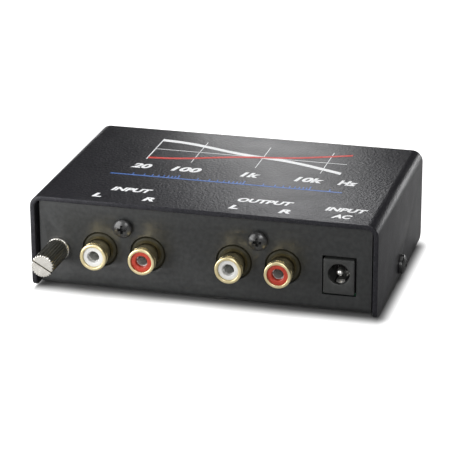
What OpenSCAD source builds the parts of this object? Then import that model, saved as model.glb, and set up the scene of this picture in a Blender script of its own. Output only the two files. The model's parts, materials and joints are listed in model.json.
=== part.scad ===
// Phono preamplifier in a folded steel case. One panel carries two twin phono
// sockets, a round power socket and a knurled ground terminal.
// Millimetres, +Z up. The socket panel faces -Y. The origin lies on the surface
// that the feet stand on, under the middle of the overall outline.

/* [Case] */
// Width over the cover's two sides
case_w = 107; // [105:0.5:125]
// Length of the cover from its front edge to its back edge
case_d = 70; // [68:0.5:100]
// Height of the cover from its lower edge to its top
case_h = 29.2; // [27:0.1:45]
// Thickness of the cover's steel sheet
cover_t = 1.5; // [1:0.1:2]
// Outside radius of the cover's two long bends
cover_bend_r = 3.5; // [2.2:0.1:6]
// Radius on the lower corners of the cover's sides
cover_corner_r = 2; // [0.5:0.1:4]
// Distance that the cover reaches past each end panel
cover_overhang = 1.8; // [0.5:0.1:3]
// Gap between an end panel's side edge and the cover
panel_gap = 0.9; // [0.3:0.1:1.5]
// Gap between an end panel's top edge and the cover
panel_top_gap = 0.5; // [0.2:0.1:1.5]

/* [Chassis] */
// Thickness of the chassis sheet
chassis_t = 1.2; // [0.8:0.1:1.6]
// Outside radius of the chassis bends
chassis_bend_r = 1.8; // [1.7:0.1:3]
// Height of the chassis underside above the cover's lower edge
chassis_lift = 0.6; // [0:0.1:1.2]
// Width of each side tab that a cover screw goes into
tab_w = 12; // [8:0.5:20]
// Height of a side tab above the chassis underside
tab_h = 8; // [6.5:0.5:12]
// Gap between a side tab and the cover
tab_gap = 0.15; // [0.05:0.05:0.3]
// Width of the relief notch beside each side tab
relief_w = 1; // [0.5:0.1:2]
// Depth of the relief notch from the chassis edge
relief_depth = 2.5; // [1.5:0.1:4]
// Outside diameter of the drawn collar round a tab's screw hole
collar_d = 4.2; // [3.8:0.1:4.4]
// Length of the drawn collar inside the tab
collar_len = 1.2; // [0.4:0.1:1.8]

/* [Feet] */
// Diameter of a foot
foot_d = 9; // [6:0.5:12]
// Height of a foot
foot_h = 1.6; // [1.3:0.1:4]
// Distance from the cover's side to a foot's centre
foot_inset_x = 12; // [9:0.5:20]
// Distance from the cover's end to a foot's centre
foot_inset_y = 12; // [9:0.5:16]
// Bevel round a foot's lower edge
foot_bevel = 0.4; // [0.1:0.1:0.8]

/* [Screws] */
// Thread diameter of all the pan head screws
screw_d = 3; // [2.5:0.1:3.2]
// Head diameter of the socket and board screws
screw_head_d = 5.8; // [5:0.1:6.5]
// Head height of all the pan head screws
screw_head_h = 2; // [1.6:0.1:2.4]
// Height of the straight rim under a pan head's dome
screw_rim_h = 1.1; // [0.6:0.1:1.4]
// Length of the cross recess from tip to tip
recess_len = 3; // [2:0.1:3.4]
// Width of the cross recess
recess_w = 0.75; // [0.4:0.05:1]
// Depth of the cross recess
recess_depth = 1.3; // [0.6:0.1:1.5]
// Head diameter of a cover screw
cover_head_d = 6; // [5:0.1:7]
// Shank length of a cover screw
cover_screw_len = 5; // [4.4:0.1:5.5]
// Height of a cover screw above the cover's lower edge
cover_screw_up = 4; // [3.8:0.1:4.6]
// Distance of the cover screws behind the middle of the case
cover_screw_back = 0.5; // [-3:0.1:3]
// Shank length of a phono socket's fixing screw
jack_screw_len = 8; // [6:0.5:10]
// Shank length of a board screw
board_screw_len = 4; // [3:0.1:4.4]
// Radial room round a screw where it passes through a sheet or the board
screw_pass_gap = 0.2; // [0.1:0.05:0.3]
// Radial room round a screw in its threaded seat
thread_gap = 0.05; // [0.03:0.01:0.08]

/* [Phono sockets] */
// Distance from the cover's side to the middle of the input pair
input_inset = 28.9; // [28.7:0.1:30.5]
// Distance from the cover's other side to the middle of the output pair
output_inset = 36.4; // [36.1:0.1:39.5]
// Distance between the two sockets of a pair
jack_pitch = 15; // [14:0.1:15.4]
// Height of the socket axes above the board
jack_up = 6.8; // [6.6:0.1:8]
// Outside diameter of a socket's metal sleeve
jack_d = 8.3; // [8:0.05:8.6]
// Distance that a sleeve reaches out from the panel
jack_reach = 7.2; // [6:0.1:10]
// Wall of the sleeve
sleeve_t = 0.95; // [0.7:0.05:1.1]
// Step down of the sleeve where it passes through the housing
neck_step = 0.25; // [0.2:0.05:0.4]
// Rounding of the sleeve's front lip
lip_r = 0.4; // [0.2:0.05:0.45]
// Distance of the fine groove from the sleeve's front end
groove_back = 1.15; // [0.8:0.05:2]
// Width of the fine groove
groove_w = 0.3; // [0.2:0.05:0.5]
// Depth of the fine groove
groove_depth = 0.2; // [0.1:0.05:0.4]
// Distance of the insulator's face behind the sleeve's front end
insulator_recess = 0.5; // [0.3:0.05:1]
// Diameter of the hole in the insulator's face
insulator_hole_d = 3.6; // [3.55:0.05:3.8]
// Bevel round the hole in the insulator's face
insulator_bevel = 0.25; // [0.1:0.05:0.4]
// Thickness of the insulator's front wall
insulator_wall = 1.4; // [0.8:0.1:2]
// Bore of the centre contact, which takes the plug's pin
contact_bore_d = 3.24; // [3.2:0.01:3.3]
// Wall of the centre contact
contact_t = 0.45; // [0.3:0.05:0.5]
// Length of the contact's bore that grips the pin
contact_grip_len = 5; // [4:0.1:5.2]
// Depth of the centre contact's bore with the relief behind the grip
contact_len = 7.5; // [6:0.1:9]
// Radial relief behind the grip
contact_relief = 0.2; // [0.16:0.02:0.24]
// Width of the two slots that let the contact spring
contact_slot_w = 0.5; // [0.3:0.1:0.6]
// Diameter of the housing's round boss in the panel
boss_d = 10.3; // [9.6:0.1:10.8]
// Radial gap between a boss and the panel's hole
boss_gap = 0.4; // [0.2:0.05:0.6]
// Bevel round a boss's front edge
boss_bevel = 0.35; // [0.2:0.05:0.6]
// Margin of the housing beside its outer socket axes
jack_margin = 6; // [5.6:0.1:6.1]
// Height of the housing above its socket axes
jack_over = 6; // [5.6:0.1:7]
// Depth of the housing behind the panel
jack_depth = 11; // [9:0.5:12]
// Height of the fixing screw above the socket axes
jack_screw_up = 7.6; // [7.4:0.1:9]
// Width of the lug that the fixing screw goes into
lug_w = 9; // [7:0.5:12]
// Height of the lug above the fixing screw
lug_over = 3.6; // [2.6:0.1:4]
// Thickness of a socket's earth strap
strap_t = 0.5; // [0.4:0.05:0.8]

/* [Power socket] */
// Distance from the cover's side to the middle of the power socket
power_inset = 11.9; // [11.5:0.1:12.9]
// Height of the power socket's axis above the board
power_up = 6.34; // [6.2:0.02:6.6]
// Width of the power socket's face
power_w = 9.4; // [9:0.1:10]
// Height of the power socket's face
power_h = 11; // [10.6:0.1:12]
// Overall depth of the power socket
power_depth = 14; // [13.5:0.5:16]
// Depth of the power socket's front block
power_block_depth = 3.6; // [3:0.1:5]
// Distance that the face stands proud of the panel
power_proud = 0.7; // [0.2:0.1:1.2]
// Rounding of the face's corners
power_corner_r = 0.5; // [0.2:0.1:1]
// Width of the barrel behind the front block
barrel_w = 8.6; // [8.2:0.1:8.9]
// Width of the flat on top of the barrel
barrel_flat = 0.2; // [0.1:0.1:2]
// Diameter of the plug hole
power_bore_d = 6.4; // [6:0.1:6.6]
// Depth of the plug hole
power_bore_depth = 10.4; // [9.5:0.1:11]
// Diameter of the centre pin
power_pin_d = 2.1; // [1.6:0.05:2.5]
// Diameter of the pin where it goes through the housing's back wall
pin_stem_d = 1.7; // [1.2:0.05:2]
// Width of the flat tails of the pin and of the clip
tail_w = 1.9; // [1.2:0.1:2.4]
// Distance of the pin's tip behind the socket's face
power_pin_back = 1.1; // [0.5:0.1:2]
// Gap at each side of the face in the panel's cut-out
power_gap_x = 0.4; // [0.2:0.05:0.8]
// Gap above and below the face in the panel's cut-out
power_gap_z = 0.65; // [0.2:0.05:0.8]
// Width of the spring leaf under the plug hole
leaf_w = 2.6; // [2:0.1:3]
// Thickness of the spring leaf
leaf_t = 0.3; // [0.2:0.02:0.4]
// Height that the leaf's crest stands into the plug hole
leaf_rise = 0.55; // [0.3:0.05:0.7]
// Distance of the leaf's crest behind the socket's face
leaf_crest_back = 3.6; // [3:0.1:5]
// Length of the leaf in front of its crest
leaf_tip_len = 1.2; // [0.8:0.1:1.8]
// Distance of the leaf's root in front of the socket's back
leaf_root_in = 1.5; // [1.3:0.1:2.5]
// Thickness of the housing under the leaf's slot
slot_floor = 1.6; // [1.2:0.1:1.8]
// Gap between the leaf and the walls of its slot
leaf_gap = 0.4; // [0.3:0.05:0.6]
// Gap between the leaf's root and the clip that carries it
leaf_seat_gap = 0.1; // [0.05:0.01:0.15]

/* [Ground terminal] */
// Distance from the cover's side to the middle of the ground terminal
ground_inset = 8.1; // [7.5:0.1:8.5]
// Height of the ground terminal above the chassis underside
ground_up = 11.4; // [10.6:0.1:14]
// Diameter of the knurled knob
knob_d = 7; // [6:0.1:8]
// Length of the knurled knob
knob_len = 14.1; // [10:0.1:18]
// Number of knurls round the knob
knurl_count = 26; // [16:1:36]
// Depth of the grooves between the knurls
knurl_depth = 0.32; // [0.15:0.01:0.4]
// Bevel at both ends of the knob
knob_bevel = 0.4; // [0.2:0.05:0.6]
// Width of the knob's screwdriver slot
knob_slot_w = 0.75; // [0.5:0.05:1.2]
// Depth of the knob's screwdriver slot
knob_slot_depth = 1.2; // [0.8:0.1:2]
// Angle of the screwdriver slot, as the terminal is left tightened
knob_slot_angle = -28; // [-90:1:90]
// Diameter of the captive washer
washer_d = 8; // [7.6:0.1:9]
// Thickness of the captive washer
washer_t = 0.8; // [0.6:0.1:1.2]
// Gap on each face of the captive washer
washer_gap = 0.05; // [0.03:0.01:0.08]
// Thread diameter of the terminal screw
ground_thread_d = 4; // [3.5:0.1:4.4]
// Length of the terminal screw's shank under its knob
ground_shank_len = 9; // [8:0.1:10]
// Running gap round the shank in the bush and in the washer
ground_thread_gap = 0.05; // [0.03:0.01:0.08]
// Diameter of the bush behind the panel
bush_d = 8; // [7:0.1:9]
// Length of the bush behind the panel
bush_len = 6; // [5:0.1:7]
// Wall of the bush's collar, which is pressed into the panel
bush_collar_t = 0.8; // [0.6:0.05:1]
// Thickness of the solder lug
lug_tag_t = 0.5; // [0.3:0.05:0.6]
// Width of the solder lug's tail
lug_tail_w = 3; // [2:0.1:4]
// Length of the solder lug's tail
lug_tail_len = 6; // [4:0.5:7]
// Diameter of the ground wire
wire_d = 1.6; // [1:0.1:2]
// Bend radius of the ground wire, to its middle
wire_bend_r = 3; // [2:0.1:4]

/* [Circuit board] */
// Gap between the board's side edge and the cover
board_side_gap = 4.5; // [4:0.1:5]
// Thickness of the board
board_t = 1.6; // [1:0.1:2]
// Gap between the socket panel and the board's front edge
board_front_gap = 0.5; // [0.2:0.1:1]
// Gap between the board's back edge and the far panel
board_back_gap = 2.5; // [1:0.1:3]
// Height of the board's underside above the chassis floor
standoff_h = 2.9; // [2.4:0.1:4]
// Diameter of a standoff
standoff_d = 6; // [5:0.1:7]
// Distance from the board's side edge to a standoff
standoff_inset_x = 4; // [3.6:0.1:4.4]
// Distance from the board's front edge to the front standoffs
standoff_front = 19.5; // [18.5:0.1:20]
// Distance from the board's back edge to the back standoffs
standoff_back = 4; // [3.6:0.1:4.4]

/* [Board layout] */
// Distance from the board's front edge to the middle of the chips
chip_row = 25.5; // [25:0.5:28]
// Distance from the board's left edge to the middle of the first chip
chip_inset = 30; // [28:0.5:31]
// Distance between the two chips
chip_step = 21.5; // [20:0.5:24]
// Distance between film capacitors in a column
film_cap_step = 4.2; // [3.8:0.1:4.4]
// Distance from the board's front edge to the coupling capacitors
coupling_cap_row = 35; // [34.9:0.1:38]
// Distance from the board's left edge to the first coupling capacitor
coupling_cap_inset = 8.5; // [6:0.5:10]
// Distance between coupling capacitors
coupling_cap_step = 9; // [8.5:0.5:11]
// Distance from the board's front edge to the first row of supply capacitors
supply_cap_row = 38; // [37:0.5:39]
// Distance from the board's right edge to the outer supply capacitors
supply_cap_inset = 17.4; // [16.5:0.1:18]
// Distance between supply capacitors, both ways
supply_cap_step = 12; // [11.5:0.5:13]
// Distance from the board's back edge to the middle row of resistors
resistor_row = 11; // [10:0.5:12]
// Distance from the board's left edge to the first column of resistors
resistor_inset = 15.5; // [12:0.5:18]
// Distance between two columns of resistors
resistor_column = 12.5; // [12:0.5:14]
// Distance between two rows of resistors
resistor_step = 3.2; // [3:0.1:3.5]
// Distance between rectifier diodes
diode_step = 3.4; // [3:0.1:3.6]
// Distance from the board's right edge to the middle of the regulators
regulator_inset = 6.5; // [5:0.5:7]
// Distance from the board's front edge to the first regulator
regulator_row = 30; // [28:0.5:32]
// Distance between the two regulators
regulator_step = 12; // [11:0.5:16]

/* [Board parts] */
// Diameter of a supply capacitor
supply_cap_d = 10; // [8:0.1:11]
// Height of a supply capacitor
supply_cap_h = 16; // [12:0.5:18]
// Lead spacing of a supply capacitor
supply_cap_pitch = 5; // [4:0.5:6]
// Diameter of a coupling capacitor
coupling_cap_d = 6.3; // [5:0.1:8]
// Height of a coupling capacitor
coupling_cap_h = 11; // [8:0.5:14]
// Lead spacing of a coupling capacitor
coupling_cap_pitch = 2.5; // [2:0.1:3.5]
// Length of a film capacitor
film_cap_w = 7.2; // [6.4:0.1:8]
// Width of a film capacitor
film_cap_d = 3.2; // [2.5:0.1:4]
// Height of a film capacitor
film_cap_h = 7.5; // [6:0.1:10]
// Lead spacing of a film capacitor
film_cap_pitch = 5; // [4:0.1:5.4]
// Diameter of a resistor
resistor_d = 2.4; // [1.8:0.1:2.6]
// Length of a resistor's body
resistor_len = 6.3; // [5:0.1:7.4]
// Lead spacing of a resistor
resistor_pitch = 10; // [9.2:0.1:10.4]
// Diameter of a rectifier diode
diode_d = 2.6; // [2:0.1:2.7]
// Length of a rectifier diode's body
diode_len = 5; // [4:0.1:6]
// Diameter of the leads of all round-leaded parts
lead_d = 0.6; // [0.4:0.05:0.8]
// Length of the leads below the board
lead_below = 1.4; // [0.8:0.1:1.8]
// Radial room round a lead in the board
lead_gap = 0.15; // [0.05:0.05:0.25]
// Length of an amplifier chip's body
chip_len = 9.8; // [9.4:0.1:10]
// Width of an amplifier chip's body
chip_w = 6.4; // [6:0.1:6.6]
// Height of an amplifier chip's body
chip_h = 3.3; // [3:0.1:4]
// Height of a chip socket
socket_h = 4.2; // [3.4:0.1:5]
// Width of a regulator
regulator_w = 10; // [9:0.1:10.4]
// Height of a regulator's plastic body
regulator_h = 9; // [8:0.1:9.4]
// Thickness of a regulator's plastic body
regulator_t = 4.4; // [4:0.1:4.8]
// Length of a regulator's metal tab above its body
regulator_tab_h = 6.2; // [5:0.1:6.6]
// Length of a regulator's legs above the board
regulator_leg = 3; // [2:0.1:3.4]

/* [Indicator lamp] */
// Diameter of the indicator lamp's dome
lamp_d = 3; // [2.6:0.1:4]
// Length of the lamp's body in front of its flange
lamp_len = 2.6; // [2.2:0.1:2.9]
// Height of the lamp above the board
lamp_up = 8; // [5:0.1:14]
// Position of the lamp across the far panel
lamp_x = 0; // [-20:0.5:6]

/* [Hidden] */
$fn = 64;

// Reach of a cut past the face that it opens
cut = 1;
sides = [-1, 1];

// Heights, from the surface that the feet stand on
chassis_z = foot_h;
cover_z = chassis_z - chassis_lift;
cover_top_z = cover_z + case_h;
floor_z = chassis_z + chassis_t;
panel_top_z = cover_top_z - cover_t - panel_top_gap;
board_z = floor_z + standoff_h;
board_top_z = board_z + board_t;
jack_z = board_top_z + jack_up;
jack_screw_z = jack_z + jack_screw_up;
power_z = board_top_z + power_up;
ground_z = chassis_z + ground_up;
lamp_z = board_top_z + lamp_up;
cover_screw_z = cover_z + cover_screw_up;

// Places from front to back
ground_reach = washer_t + 2 * washer_gap + knob_len;
overall_d = case_d + max(0, ground_reach - cover_overhang);
back_y = overall_d / 2;
front_y = back_y - case_d;
panel_y = front_y + cover_overhang;
panel_back_y = panel_y + chassis_t;
far_panel_y = back_y - cover_overhang;
far_panel_in_y = far_panel_y - chassis_t;
cover_screw_y = (front_y + back_y) / 2 + cover_screw_back;
board_front_y = panel_back_y + board_front_gap;
board_back_y = far_panel_in_y - board_back_gap;
jack_back_y = panel_back_y + jack_depth;
power_back_y = panel_y - power_proud + power_depth;
standoff_front_y = board_front_y + standoff_front;
standoff_back_y = board_back_y - standoff_back;

// Widths
cover_in_w = case_w - 2 * cover_t;
panel_w = cover_in_w - 2 * panel_gap;
tab_out_x = cover_in_w / 2 - tab_gap;
tab_in_x = tab_out_x - chassis_t;
jack_body_w = jack_pitch + 2 * jack_margin;
board_w = cover_in_w - 2 * board_side_gap;

// Places across the case, each tied to the side that it is nearest to
ground_x = ground_inset - case_w / 2;
input_x = input_inset - case_w / 2;
output_x = case_w / 2 - output_inset;
power_x = case_w / 2 - power_inset;

// Round fits
screw_pass_d = screw_d + 2 * screw_pass_gap;
screw_seat_d = screw_d + 2 * thread_gap;
neck_d = jack_d - 2 * neck_step;
sleeve_bore_d = jack_d - 2 * sleeve_t;
contact_d = contact_bore_d + 2 * contact_t;
// The stem and the tail behind a centre contact, and the legs of an earth strap
contact_stem_d = contact_bore_d / 2;
strap_leg_w = contact_stem_d;
ground_bore_d = ground_thread_d + 2 * ground_thread_gap;
bush_collar_d = ground_bore_d + 2 * bush_collar_t;
// Radial gap of a push fit, such as an insulator in its sleeve
push_gap = 0.03;
// Gap under a part that stands on the board
seat_gap = 0.02;

// Places of the board parts, measured from the board's edges
board_left = -board_w / 2;
board_right = board_w / 2;
chip_y = board_front_y + chip_row;
chip_places = [for (i = [0, 1]) [board_left + chip_inset + i * chip_step, chip_y]];
film_cap_places = [
    for (place = chip_places, i = [-1 : 1]) [place[0] - chip_step / 2, chip_y + i * film_cap_step]
];
coupling_cap_places = [
    for (i = [0 : 3])
        [board_left + coupling_cap_inset + i * coupling_cap_step, board_front_y + coupling_cap_row]
];
supply_cap_places = [
    for (i = [0, 1], j = [0, 1]) [
        board_right - supply_cap_inset - i * supply_cap_step,
        board_front_y + supply_cap_row + j * supply_cap_step
    ]
];
resistor_places = [
    for (i = [0 : 2], j = [-1 : (i < 2 ? 2 : 1)]) [
        board_left + resistor_inset + i * resistor_column,
        board_back_y - resistor_row + j * resistor_step
    ]
];
diode_places = [
    for (i = [0 : 3]) [board_right - supply_cap_inset, chip_y + (i - 1.5) * diode_step]
];
regulator_places = [
    for (i = [0, 1])
        [board_right - regulator_inset, board_front_y + regulator_row + i * regulator_step]
];

// Chip legs and socket pins
leg_pitch = 2.54;
leg_row = 7.62;
leg_w = 0.5;
leg_t = 0.3;
socket_w = 10.2;
socket_pin_d = 0.5;

// ---------- shared shapes ----------

// Draws a shape of X and Z, and extrudes it along +Y from Y = 0
module along_y(length) translate([0, length, 0]) rotate([90, 0, 0]) linear_extrude(length) children();

// Draws a shape of Y and Z, and extrudes it along +X from X = 0
module along_x(length) rotate([90, 0, 90]) linear_extrude(length) children();

// Turns a form drawn along +Z so that it points forwards, along -Y
module forwards() rotate([90, 0, 0]) children();

// Sets a form drawn along +Z on the socket panel's outer face, pointing forwards
module on_panel(x, z) translate([x, panel_y, z]) forwards() children();

// A centred rectangle with round corners
module round_rect(w, h, r) {
    square([w - 2 * r, h], center = true);
    square([w, h - 2 * r], center = true);
    for (sx = sides, sy = sides) translate([sx * (w / 2 - r), sy * (h / 2 - r)]) circle(r);
}

// A rectangle that stands on the second axis's zero, with its two top corners rounded
module arch(w, h, r) {
    translate([-w / 2, 0]) square([w, h - r]);
    translate([-w / 2 + r, 0]) square([w - 2 * r, h]);
    for (side = sides) translate([side * (w / 2 - r), h - r]) circle(r);
}

// The section of a sheet folded up at both sides of its floor
module trough(w, h, r, t) {
    difference() {
        translate([0, h]) mirror([0, 1]) arch(w, h, r);
        translate([0, h + cut]) mirror([0, 1]) arch(w - 2 * t, h + cut - t, r - t);
    }
}

// A pan head screw with a cross recess, its head above Z = 0 and its shank below
module pan_screw(head_d, length) {
    rise = screw_head_h - screw_rim_h;
    ball_r = (head_d * head_d / 4 + rise * rise) / (2 * rise);
    difference() {
        union() {
            intersection() {
                cylinder(h = screw_head_h, d = head_d);
                translate([0, 0, screw_head_h - ball_r]) sphere(ball_r, $fn = 96);
            }
            translate([0, 0, -length]) cylinder(h = length + screw_head_h / 2, d = screw_d);
        }
        for (turn = [0, 90]) rotate(turn)
            translate([-recess_len / 2, -recess_w / 2, screw_head_h - recess_depth])
                cube([recess_len, recess_w, recess_depth + cut]);
    }
}

// A flat strip in a vertical plane across the case
module strip(x, y, z_low, z_high, w, t) translate([x - w / 2, y, z_low]) cube([w, t, z_high - z_low]);

// Two round leads, side by side across the board
module lead_pair(pitch, top, d) {
    for (side = sides) translate([side * pitch / 2, 0, -board_t - lead_below])
        cylinder(h = board_t + lead_below + top, d = d, $fn = 16);
}

// Puts a form on the board's upper face at each place in a list
module on_board(places) {
    for (place = places) translate([place[0], place[1], board_top_z]) children();
}

// ---------- case ----------

module cover_side_outline() {
    middle_y = (front_y + back_y) / 2;
    translate([middle_y, cover_top_z]) mirror([0, 1]) arch(case_d, case_h, cover_corner_r);
}

module top_cover() {
    color([0.12, 0.12, 0.13])
    difference() {
        intersection() {
            translate([0, front_y, cover_z]) along_y(case_d) difference() {
                arch(case_w, case_h, cover_bend_r);
                translate([0, -cut])
                    arch(cover_in_w, case_h + cut - cover_t, cover_bend_r - cover_t);
            }
            translate([-case_w / 2, 0, 0]) along_x(case_w) cover_side_outline();
        }
        translate([-case_w / 2 - cut, cover_screw_y, cover_screw_z]) rotate([0, 90, 0])
            cylinder(h = case_w + 2 * cut, d = screw_pass_d);
    }
}

module side_tab_section() {
    translate([0, chassis_z]) trough(2 * tab_out_x, tab_h, chassis_bend_r, chassis_t);
}

// A round hole through a panel whose outer face is at Z = 0
module panel_hole(d) translate([0, 0, -chassis_t - cut]) cylinder(h = chassis_t + 2 * cut, d = d);

module panel_cutouts() {
    for (pair_x = [input_x, output_x]) {
        for (side = sides) on_panel(pair_x + side * jack_pitch / 2, jack_z)
            panel_hole(boss_d + 2 * boss_gap);
        on_panel(pair_x, jack_screw_z) panel_hole(screw_pass_d);
    }
    translate([
        power_x - power_w / 2 - power_gap_x,
        panel_y - cut,
        board_top_z + seat_gap - power_gap_z
    ]) cube([power_w + 2 * power_gap_x, chassis_t + 2 * cut, power_h + 2 * power_gap_z]);
    on_panel(ground_x, ground_z) panel_hole(bush_collar_d);
}

module base_chassis() {
    tray_d = far_panel_y - panel_y;
    color([0.17, 0.18, 0.18])
    difference() {
        union() {
            difference() {
                translate([-panel_w / 2, (panel_y + far_panel_y) / 2, chassis_z])
                    along_x(panel_w) trough(tray_d, panel_top_z - chassis_z, chassis_bend_r, chassis_t);
                for (side = sides, end = sides) translate([
                    side * (panel_w / 2 - relief_depth / 2 + cut / 2),
                    cover_screw_y + end * (tab_w + relief_w) / 2,
                    chassis_z + chassis_t / 2
                ]) cube([relief_depth + cut, relief_w, chassis_t + 2 * cut], center = true);
            }
            translate([0, cover_screw_y - tab_w / 2, 0]) along_y(tab_w) side_tab_section();
            for (side = sides) translate([side * tab_in_x, cover_screw_y, cover_screw_z])
                rotate([0, -side * 90, 0]) cylinder(h = collar_len, d = collar_d);
        }
        translate([-case_w / 2, cover_screw_y, cover_screw_z]) rotate([0, 90, 0])
            cylinder(h = case_w, d = screw_seat_d);
        panel_cutouts();
        translate([lamp_x, far_panel_y, lamp_z]) rotate([-90, 0, 0])
            panel_hole(lamp_d + 2 * screw_pass_gap);
        for (x = sides, y = [standoff_front_y, standoff_back_y])
            translate([x * standoff_x(), y, chassis_z - cut])
                cylinder(h = chassis_t + 2 * cut, d = standoff_stub_d());
    }
}

module rubber_feet() {
    middle_y = (front_y + back_y) / 2;
    color([0.05, 0.05, 0.05])
    for (x = sides, y = sides) translate([
        x * (case_w / 2 - foot_inset_x),
        middle_y + y * (case_d / 2 - foot_inset_y),
        0
    ]) rotate_extrude() polygon([
        [0, 0],
        [foot_d / 2 - foot_bevel, 0],
        [foot_d / 2, foot_bevel],
        [foot_d / 2, foot_h],
        [0, foot_h]
    ]);
}

module cover_screws() {
    color([0.1, 0.1, 0.1])
    for (side = sides) translate([side * case_w / 2, cover_screw_y, cover_screw_z])
        rotate([0, side * 90, 0]) pan_screw(cover_head_d, cover_screw_len);
}

module socket_screws() {
    color([0.12, 0.12, 0.12])
    for (x = [input_x, output_x]) on_panel(x, jack_screw_z) pan_screw(screw_head_d, jack_screw_len);
}

// ---------- phono sockets ----------

// The moulded block of one pair, with two bosses and a lug for its fixing screw
module socket_housing(x) {
    block_h = jack_up + jack_over - seat_gap;
    lug_top = jack_up + jack_screw_up + lug_over - seat_gap;
    pocket_w = jack_pitch - neck_d - 2 * sleeve_t;
    color([0.06, 0.06, 0.06])
    difference() {
        union() {
            translate([x, panel_back_y, board_top_z + seat_gap]) along_y(jack_depth) {
                arch(jack_body_w, block_h, jack_margin / 2);
                arch(lug_w, lug_top, lug_w / 4);
            }
            for (side = sides) on_panel(x + side * jack_pitch / 2, jack_z)
                translate([0, 0, -chassis_t]) rotate_extrude() polygon([
                    [0, 0],
                    [boss_d / 2, 0],
                    [boss_d / 2, chassis_t - boss_bevel],
                    [boss_d / 2 - boss_bevel, chassis_t],
                    [0, chassis_t]
                ]);
        }
        for (side = sides) on_panel(x + side * jack_pitch / 2, jack_z)
            translate([0, 0, -chassis_t - jack_depth - cut])
                cylinder(h = chassis_t + jack_depth + 2 * cut, d = neck_d + 2 * push_gap);
        on_panel(x, jack_screw_z)
            translate([0, 0, -chassis_t - jack_screw_len - cut])
                cylinder(h = jack_screw_len + chassis_t + cut, d = screw_seat_d);
        // The back is cored out between the two sockets
        translate([x, jack_back_y - jack_depth / 2, board_top_z - cut])
            along_y(jack_depth / 2 + cut) arch(pocket_w, cut + jack_up + jack_over / 2, pocket_w / 4);
    }
}

module input_socket_housing() socket_housing(input_x);
module output_socket_housing() socket_housing(output_x);

// The turned sleeve: a barrel with a rolled lip and a fine groove, and a thinner neck in the housing
module sleeve(x) {
    neck_len = chassis_t + jack_depth + strap_t;
    color([0.85, 0.72, 0.4])
    on_panel(x, jack_z) rotate_extrude() difference() {
        union() {
            translate([0, 0]) square([jack_d / 2, jack_reach - lip_r]);
            square([jack_d / 2 - lip_r, jack_reach]);
            translate([jack_d / 2 - lip_r, jack_reach - lip_r]) circle(lip_r);
            translate([0, -neck_len]) square([neck_d / 2, neck_len + cut]);
        }
        translate([-cut, -neck_len - cut])
            square([cut + sleeve_bore_d / 2, neck_len + jack_reach + 2 * cut]);
        translate([jack_d / 2 - groove_depth, jack_reach - groove_back - groove_w])
            square([groove_depth + cut, groove_w]);
        // The lip opens inwards with a small bevel
        polygon([
            [0, jack_reach + cut],
            [0, jack_reach - lip_r],
            [sleeve_bore_d / 2, jack_reach - lip_r],
            [sleeve_bore_d / 2 + lip_r / 2, jack_reach],
            [sleeve_bore_d / 2 + lip_r / 2, jack_reach + cut]
        ]);
    }
}

module input_left_sleeve() sleeve(input_x - jack_pitch / 2);
module input_right_sleeve() sleeve(input_x + jack_pitch / 2);
module output_left_sleeve() sleeve(output_x - jack_pitch / 2);
module output_right_sleeve() sleeve(output_x + jack_pitch / 2);

// The coloured plastic core of a socket, hollow for its centre contact
module insulator(x, hue) {
    back = -chassis_t - jack_depth - strap_t;
    face = jack_reach - insulator_recess;
    cavity = contact_d / 2 + push_gap;
    cavity_back = face - insulator_wall - contact_len - 2 * contact_t;
    stem = contact_stem_d / 2 + push_gap;
    color(hue)
    on_panel(x, jack_z) rotate_extrude() difference() {
        translate([0, back]) square([sleeve_bore_d / 2 - push_gap, face - back]);
        translate([-cut, back - cut]) square([cut + stem, face - back]);
        translate([-cut, cavity_back]) square([cut + cavity, face - insulator_wall - cavity_back]);
        translate([-cut, cavity_back]) square([cut + insulator_hole_d / 2, face - cavity_back + cut]);
        // A soft countersink at the mouth
        polygon([
            [insulator_hole_d / 2 - cut, face - insulator_bevel - cut],
            [insulator_hole_d / 2, face - insulator_bevel],
            [insulator_hole_d / 2 + insulator_bevel, face],
            [insulator_hole_d / 2 + insulator_bevel, face + cut],
            [insulator_hole_d / 2 - cut, face + cut]
        ]);
    }
}

module input_left_insulator() insulator(input_x - jack_pitch / 2, [0.93, 0.92, 0.9]);
module input_right_insulator() insulator(input_x + jack_pitch / 2, [0.8, 0.16, 0.12]);
module output_left_insulator() insulator(output_x - jack_pitch / 2, [0.93, 0.92, 0.9]);
module output_right_insulator() insulator(output_x + jack_pitch / 2, [0.8, 0.16, 0.12]);

// The springy tube that grips the plug's pin, with a stem and a flat tail to the board
module centre_contact(x) {
    mouth = jack_reach - insulator_recess - insulator_wall - seat_gap;
    back = -chassis_t - jack_depth - strap_t;
    tail_y = panel_y - back + 2 * push_gap;
    color([0.62, 0.62, 0.6])
    union() {
        on_panel(x, jack_z) difference() {
            union() {
                translate([0, 0, mouth - contact_len - contact_t])
                    cylinder(h = contact_len + contact_t, d = contact_d);
                translate([0, 0, back - contact_stem_d])
                    cylinder(h = mouth - contact_len - back + contact_stem_d, d = contact_stem_d);
            }
            translate([0, 0, mouth - contact_len]) cylinder(h = contact_len + cut, d = contact_bore_d);
            translate([0, 0, mouth - contact_len])
                cylinder(h = contact_len - contact_grip_len, d = contact_bore_d + 2 * contact_relief);
            translate([0, 0, mouth - contact_len / 2 + cut / 2])
                cube([contact_d + cut, contact_slot_w, contact_len + cut], center = true);
        }
        strip(x, tail_y, board_z - lead_below, jack_z, contact_stem_d, contact_t);
    }
}

module input_left_contact() centre_contact(input_x - jack_pitch / 2);
module input_right_contact() centre_contact(input_x + jack_pitch / 2);
module output_left_contact() centre_contact(output_x - jack_pitch / 2);
module output_right_contact() centre_contact(output_x + jack_pitch / 2);

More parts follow.
